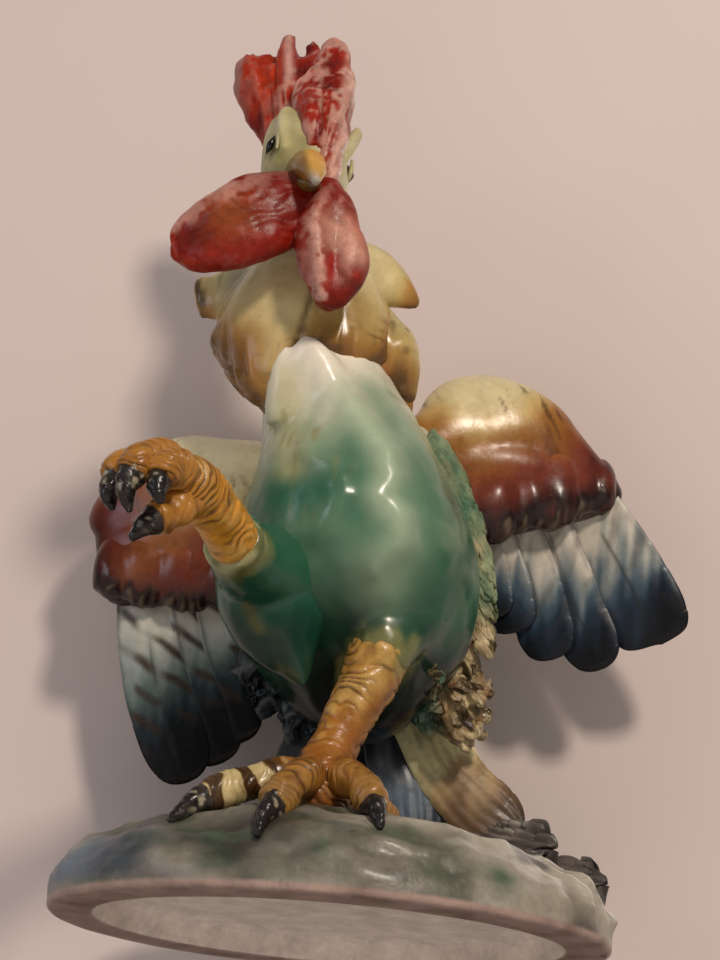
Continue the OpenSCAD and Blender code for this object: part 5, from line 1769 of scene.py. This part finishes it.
def right_wing() -> Wing:
    """Give the wing on the bird's right, half shut behind the lifted leg."""
    return Wing(
        "right", [[-20, 13, 139, 14, .8], [-34, 17, 140.5, 16.5, 1], [-46, 20, 140, 18.5, 1.02],
                  [-57, 22.5, 139, 21, .98], [-66, 24.5, 135, 19.5, .84], [-73.5, 26, 130.5, 16.5, .66],
                  [-79.5, 27.5, 126, 12.5, .46], [-82.6, 28.2, 123, 7, .24]],
        [[-29, 19, 116, 7, .6], [-42, 21.5, 114.5, 10.6, .84], [-55, 24, 114, 11.4, .84],
         [-66, 26, 114, 11, .74], [-75, 27.4, 113.6, 11.8, .58], [-80.6, 28.2, 113, 9.4, .4],
         [-83.2, 28.6, 112.4, 4.5, .2]], [[[-68.5, 28.5, 114], [-60.5, 30.4, 80], [-46.8, 31, 48]],
                                          [[-60.5, 27.9, 114], [-51, 29.8, 83], [-36.6, 30.4, 55]],
                                          [[-52.5, 27.2, 114], [-44, 29, 87], [-31, 29.6, 62]],
                                          [[-44.5, 26.4, 114], [-37.6, 28, 92], [-26.6, 28.6, 70]],
                                          [[-37, 25.4, 114], [-32.4, 26.8, 97], [-25, 27.4, 79]]],
        [1.3, 1.24, 1.18, 1.12, 1.0], [(-39, 21, 115, 9.5), (-53, 23.6, 114.6, 9.5), (-66, 26, 114.4, 8.6),
                                       (-76.5, 27.6, 113.6, 6.4)],
        [[-24, 15, 127, 10, .7], [-38, 19, 127, 12, .95], [-52, 22, 127, 12.5, .98],
         [-64, 24.6, 125, 12, .85], [-74, 26.4, 121.5, 11, .64], [-81, 28, 118, 8, .4],
         [-83, 28.4, 117, 3, .2]], [(-22, 106), (-39, 101), (-53, 100.6), (-66, 101.6), (-77, 104),
                                    (-84, 110), (-85, 122)],
        [(-62, 122, 8, "8a5226"), (-70, 112, 6, "7a4320"), (-48, 122, 7, "6b2613")],
        {"cover": [(0, "220d08"), (4, "481509"), (10, "5d2010"), (16, "6f3315"), (22, "84501f"),
                   (28, "b08a48"), (34, "e2cf9c"), (42, "f8e8b9"), (60, "fdefc6")],
         "flight": [(0.0, "bcb8ac"), (0.26, "bab7aa"), (0.42, "949a92"), (0.54, "596964"), (0.64, "28363a"),
                    (0.72, "101518"), (1.0, "070909")]}, 0.95, 0.06)


@dataclass
class Tail:
    """Seven drooping tail feathers and the torn clay round the rump."""

    half_width: float = 10.0
    half_thick: float = 2.2

    def build(self, shop: Workshop) -> None:
        """Build and dress the tail and the tufts.

        Args:
            shop: maker of pieces.
        """
        slate = [(0.0, "174640"), (0.24, "1b4a45"), (0.4, "16202a"), (0.55, "7d8288"), (0.68, "5e6f80"),
                 (0.85, "2e3a45"), (1.0, "1a2026")]
        straw = [(0.0, "efe4ae"), (0.42, "efe3ac"), (0.53, "b3966a"), (0.7, "785d42"), (1.0, "463526")]
        shard = [(0.0, "7d6f52"), (0.35, "6f6052"), (0.7, "665c55"), (1.0, "58504c")]
        feathers = (
            ([[10, 36, 88], [15, 38, 71], [20, 38, 54], [24, 37, 31]], Axis.SIDE, 1.1, slate, 0.0),
            ([[21, 35, 80], [30, 35.6, 65], [41, 37, 52], [56.5, 38, 42]], Axis.TAIL_SPREAD, 1.1, straw,
             0.0), ([[34, 42, 50], [44, 38.5, 42], [54, 34, 38.4], [68, 29.2, 37]], Axis.TAIL_SPREAD, 1.0,
                    shard, 1.0), ([[40, 40, 34], [54, 33.6, 30.6], [67, 28, 27.8], [83, 23.4, 26.6]],
                                  Axis.TAIL_FLAT, 1.1, shard, 1.0),
            ([[2, 42, 90], [-8, 49, 74], [-13, 52, 54], [-15, 48, 24]], Axis.SIDE, 1, slate, 0.0),
            ([[10, 50, 88], [9, 57, 72], [8, 57.5, 52], [8, 51, 22]], Axis.SIDE, 1.05, slate, 0.0),
            ([[16, 48, 86], [23, 54, 68], [28, 54, 48], [32, 48, 22]], Axis.SIDE, 1, slate, 0.0),)
        for number, row in enumerate(feathers, 1):
            self.feather(shop, number, *row)
        self.left_flank(shop)
        self.right_flank(shop)
        self.over_rump(shop)

    def feather(self, shop: Workshop, i: int, path: list, hint: Axis, share: float, stops: Stops,
                torn: float) -> None:
        """Build and dress one tail feather.

        Args:
            shop: maker of pieces.
            i: its number.
            path: its shaft, mm.
            hint: way its width lies towards.
            share: its half width against the tail's own.
            stops: colours from root to tip.
            torn: 1 for a shard with a broken tip, else 0.
        """
        vane = Vane(self.half_width * share, self.half_thick, shaft=0.2, cup=0.1, notch=0.03 + 0.2 * torn,
                    teeth=8.0, fan=torn, ragged=0.16 * torn)
        grid = blade(path, hint, vane, 220 + i, 130, 72)
        p = grid.xyz
        strand = np.sin(np.cos(grid.a) * vane.half_width * TAU / 3.4 + 2.0 * noise(p, 9.0, 221 + i))
        grid.push((0.14 + 0.21 * torn) * strand + (0.5 + 0.4 * torn) * noise(p, 8.0, 230 + i))
        skin = grid.skin()
        q = skin.points
        paint = run(skin.share + 0.14 * noise(q, (6, 6, 12), 240 + i), stops)
        paint.lay("1d1b18", (0.4 + 0.2 * torn) * ease(-skin.relief, 0.02, 0.4))
        paint.lay("a8a298", 0.7 * torn * ease(skin.relief, 0.08, 0.5) * blot(q, 7.0, 245 + i, -0.2, 0.5))
        shop.piece(f"tail_{i}", skin, paint, Slot.TAIL)

    def frill(self, line: list, reach: tuple, count: int, width: float, seed: int) -> Skin:
        """Press ragged shreds that stand off a line every which way.

        Args:
            line: places along the line, mm.
            reach: way that the shreds point, with their mean length in mm.
            count: number of shreds.
            width: their half width, mm.
            seed: number that picks their lie.

        Returns:
            The mesh.
        """
        pick = np.random.default_rng(seed)
        parts = []
        for root in curve(line, np.linspace(0.0, len(line) - 1.0, count)):
            way = np.array(reach) * pick.uniform(0.7, 1.25) + pick.normal(0.0, 2.6, 3)
            curl = pick.normal(0.0, 1.6, 3)
            root = root + pick.normal(0.0, 1.6, 3)
            path = [(root - 0.35 * way).tolist(), (root + 0.3 * way + curl).tolist(),
                    (root + 0.75 * way - 0.5 * curl).tolist()]
            hint = tuple(np.array([0.35, 0.45, 0.8]) + pick.normal(0.0, 0.55, 3))
            parts.append(leaves([path], hint, width * pick.uniform(0.7, 1.3), int(pick.integers(1000)), 36,
                                34))
        return join(parts)

    def left_flank(self, shop: Workshop) -> None:
        """Build and dress the pressed leaves and torn clay on the lit flank."""
        roots = curve([(18, -9, 154), (23, -8, 142), (26, -6, 131), (27, -2, 121), (26, 2, 110)],
                      np.linspace(0.0, 4.0, 11))
        grow = np.linspace(0.9, 1.36, len(roots))
        leaf = leaves(
            [[r.tolist(), (r + g * np.array([8, 6, -6])).tolist(),
              (r + g * np.array([13.4, 11.6, -13])).tolist()] for r, g in zip(roots, grow)], Axis.LEAF, 5.2,
            250)
        broad = leaves(
            [[[20, 4, 106], [26, 11, 90], [30, 16, 71]], [[28, 7, 108], [33, 13, 93], [38, 18, 77]],
             [[14, 8, 94], [19, 14, 82], [22, 18, 68]]], (1.0, 0.45, 0.2), 7.0, 256)
        fray = [self.frill([(32, 8, 108), (34, 12, 98), (35, 15, 91), (37, 18, 83), (36, 20, 76),
                            (31, 21, 70)], (7, 2, -5), 18, 4.4, 258),
                self.frill([(28, 3, 102), (30, 8, 94), (31, 11, 87), (33, 14, 80), (30, 16, 74)],
                           (5, 0, -6), 12, 4.2, 259), self.frill([(20, -10, 90), (22, -5, 84), (24, 2, 77)],
                                                                 (3, -1, -7), 5, 3.0, 260)]
        core = crumple(
            [[(26, 6, 112), (30, 12, 102), (32, 16, 90)], [(22, 13, 94), (28, 19, 86), (32, 22, 79)],
             [(16, 15, 86), (22, 20, 78), (26, 23, 71)]], 5.4, 3.0, 262)
        skin = join([leaf, broad, *fray, core])
        q = skin.points
        x, _, z = q.T
        paint = run(0.8 * skin.relief + 0.8 * noise(q, 4.0, 252) + 0.3 * noise(q, 1.6, 255), [
            (-1.2, "33271a"), (-0.4, "6b5a3e"), (0.2, "a8946e"), (0.8, "c9b68e"), (1.3, "d8c9a6")])
        paint.lay("2c6a58", 0.85 * ease(x + 3.0 * noise(q, 6.0, 257), 31, 25) * ease(z, 96, 86)
                  * ease(z, 62, 70))
        paint.lay("6a8a68", 0.8 * ease(z, 98, 112) * blot(q, 6.0, 253, -0.9, 0.2))
        paint.lay("3c6a52", 0.7 * ease(z, 104, 118) * ease(-skin.relief, -0.05, 0.4))
        paint.lay("a3a981", 0.6 * ease(z, 130, 118) * ease(z, 96, 104) * ease(skin.relief, -0.1, 0.3))
        paint.lay("4f7058", 0.6 * spot(q, (22, -6, 88), 9))
        paint.lay("7d4c1e", 0.5 * blot(q, 6.0, 254, 0.2, 0.6) * ease(z, 104, 92))
        shop.piece("left_flank_tufts", skin, paint, Slot.TUFT)

    def right_flank(self, shop: Workshop) -> None:
        """Build and dress the dark torn clay under the far wing."""
        core = crumple(
            [[(-26, 8, 104), (-31, 15, 92), (-32, 19, 82)], [(-18, 14, 94), (-24, 21, 82), (-25, 24, 73)],
             [(-10, 14, 86), (-15, 22, 75), (-15, 26, 66)], [(-3, 16, 80), (-5, 23, 70), (-5, 26, 62)]],
            6.0, 3.6, 270)
        leaf = leaves(
            [[[-25, 12, 98], [-30, 18, 88], [-32.5, 22, 79]],
             [[-18, 17, 90], [-23.5, 23, 80], [-26, 27, 70]],
             [[-10, 17, 82], [-15, 24, 73], [-16.5, 29, 63]]], Axis.INNER_FLANK, 5.2, 275)
        shreds = self.frill([(-30, 14, 94), (-28, 18, 84), (-20, 22, 74), (-10, 23, 67)], (-2, 2, -7), 16,
                            2.8, 277)
        skin = join([core, leaf, shreds])
        q = skin.points
        paint = run(0.8 * skin.relief + 0.8 * noise(q, 4.0, 272), [
            (-1.2, "07090b"), (-0.3, "131b20"), (0.4, "29343a"), (1.2, "565c58")])
        shop.piece("right_flank_tufts", skin, paint, Slot.TUFT)

    def over_rump(self, shop: Workshop) -> None:
        """Build and dress the pressed leaves over the rump."""
        lines = [[[16, 26, 120], [28, 42, 104], [32, 48.5, 86]],
                 [[9, 32, 126], [15, 54, 108], [17, 62, 88]], [[-4, 30, 126], [-7, 51, 108], [-10, 59, 88]],
                 [[-12, 24, 120], [-22.5, 39, 103], [-25, 46, 84]],
                 [[2, 30, 134], [3, 52, 117], [4, 61.5, 99]],
                 [[20, 22, 128], [32, 34, 114], [34.5, 39.5, 98]],
                 [[-18, 20, 128], [-28, 31, 113], [-30.5, 36, 97]]]
        skin = leaves(lines, Axis.SIDE, 7.0, 290)
        q = skin.points
        paint = run(0.9 * skin.relief + 0.8 * noise(q, 6.0, 292), [
            (-1.0, "2f3a2e"), (-0.3, "536b50"), (0.3, "82906c"), (1.0, "aaa883")])
        shop.piece("rump_tufts", skin, paint, Slot.TUFT)


@dataclass
class Studio:
    """Camera, plain pale stage and soft light."""

    eye: tuple[float, float, float] = (-2.17, -560.0, -98.3)
    pitch: float = 23.09
    roll: float = 4.95
    focal: float = 1956.0
    frame_height: float = 960.0
    sensor: float = 36.0
    pale: str = "dacbc6"
    middle: tuple[float, float, float] = (0.0, 0.0, 0.14)

    def camera(self) -> None:
        """Set the camera where the photograph was taken from."""
        data = bpy.data.cameras.new("view")
        data.sensor_fit = "AUTO"
        data.sensor_width = self.sensor
        data.lens = self.focal * self.sensor / self.frame_height
        data.clip_start = 0.01
        p, r = math.radians(self.pitch), math.radians(self.roll)
        ahead = np.array([0.0, math.cos(p), math.sin(p)])
        side0, up0 = np.array([1.0, 0.0, 0.0]), np.array([0.0, -math.sin(p), math.cos(p)])
        side = math.cos(r) * side0 + math.sin(r) * up0
        up = -math.sin(r) * side0 + math.cos(r) * up0
        obj = add_object("view", data)
        self.aim(obj, side, up, -ahead, np.array(self.eye) * MM)
        bpy.context.scene.camera = obj

    def aim(self, obj: bpy.types.Object, side: Array, up: Array, back: Array, place: Array) -> None:
        """Turn an object to its three axes and put it in its place in metres."""
        rows = np.stack([side, up, back, place], 1)
        obj.matrix_world = Matrix([*rows.tolist(), [0.0, 0.0, 0.0, 1.0]])

    def sheet(self, name: str, corners: list) -> None:
        """Put up a plain pale sheet that is seen from its front only.

        Args:
            name: the sheet's name.
            corners: its corners, metres, anticlockwise from the front.
        """
        mesh = bpy.data.meshes.new(name)
        mesh.from_pydata(corners, [], [(0, 1, 2, 3)])
        obj = add_object(name, mesh)
        mat = bpy.data.materials.new(name)
        nodes = blank(mat)
        where = nodes.add("ShaderNodeTexCoord").outputs["Object"]
        cloud = nodes.add("ShaderNodeTexNoise", {"Vector": where, "Scale": 7.0, "Detail": 2.0})
        colour = nodes.add("ShaderNodeMix", {0: cloud.outputs[0], 6: (*tint(self.pale) * 0.94, 1.0),
                                             7: (*tint(self.pale) * 1.04, 1.0)}, data_type="RGBA")
        front = nodes.add("ShaderNodeBsdfDiffuse", {"Color": colour.outputs[2]})
        clear = nodes.add("ShaderNodeBsdfTransparent")
        back = nodes.add("ShaderNodeNewGeometry").outputs["Backfacing"]
        mix = nodes.add("ShaderNodeMixShader", {0: back, 1: front.outputs[0], 2: clear.outputs[0]})
        nodes.add("ShaderNodeOutputMaterial", {0: mix.outputs[0]})
        mesh.materials.append(mat)
        obj.visible_diffuse = False
        obj.visible_shadow = False

    def lamp(self, name: str, place: tuple, size: tuple, power: float, code: str) -> None:
        """Hang a soft lamp that points at the middle.

        Args:
            name: the lamp's name.
            place: where it hangs, metres.
            size: its width and height, metres.
            power: its power, watts.
            code: hex colour of its light.
        """
        data = bpy.data.lights.new(name, "AREA")
        data.shape = "RECTANGLE"
        data.size, data.size_y = size
        data.energy = power
        data.color = tuple(tint(code))
        back = unit(np.array(place) - np.array(self.middle))
        side = unit(np.cross([0.0, 0.0, 1.0], back))
        self.aim(add_object(name, data), side, np.cross(back, side), back, np.array(place))

    def build(self) -> None:
        """Set up the stage and the light."""
        scene = bpy.context.scene
        scene.view_settings.view_transform = "Standard"
        self.sheet("backdrop", [(-0.6, 0.068, -0.6), (0.6, 0.068, -0.6), (0.6, 0.068, 0.7),
                                (-0.6, 0.068, 0.7)])
        self.sheet("floor", [(-1.5, -1.5, -0.0004), (1.5, -1.5, -0.0004), (1.5, 1.5, -0.0004),
                             (-1.5, 1.5, -0.0004)])
        for row in (("key", (0.34, -1.0, 0.66), (0.14, 0.17), 8.0, "fff0e0"),
                    ("side", (-0.8, -0.7, 0.3), (0.3, 0.4), 1.2, "e6edff"),
                    ("rear", (0.5, 1.0, 0.6), (0.5, 0.5), 3.6, "fff6ec"),
                    ("low", (-0.1, -0.8, -0.55), (0.7, 0.5), 1.6, "ffeee2")):
            self.lamp(*row)
        world = bpy.data.worlds.new("room")
        nodes = blank(world)
        path = nodes.add("ShaderNodeLightPath")
        strength = nodes.spread(path.outputs["Is Glossy Ray"], 0.0, 1.0, 0.36, 0.2)
        ambient = nodes.add("ShaderNodeBackground", {"Color": (0.80, 0.77, 0.75, 1.0),
                                                     "Strength": strength})
        seen = nodes.add("ShaderNodeBackground", {"Color": (*tint(self.pale), 1.0), "Strength": 0.8})
        mix = nodes.add("ShaderNodeMixShader", {0: path.outputs["Is Camera Ray"], 1: ambient.outputs[0],
                                                2: seen.outputs[0]})
        nodes.add("ShaderNodeOutputWorld", {0: mix.outputs[0]})
        scene.world = world


def main() -> None:
    """Build the studio and the figurine, piece by piece."""
    logging.basicConfig(level=logging.INFO, format="%(name)s: %(message)s")
    studio = Studio()
    studio.camera()
    studio.build()
    shop = Workshop()
    mound = Mound()
    for part in (mound, Torso(), standing_foot(mound), raised_foot(), Neck(), Head(), left_wing(),
                 right_wing(), Tail()):
        part.build(shop)


if __name__ == "__main__":
    main()
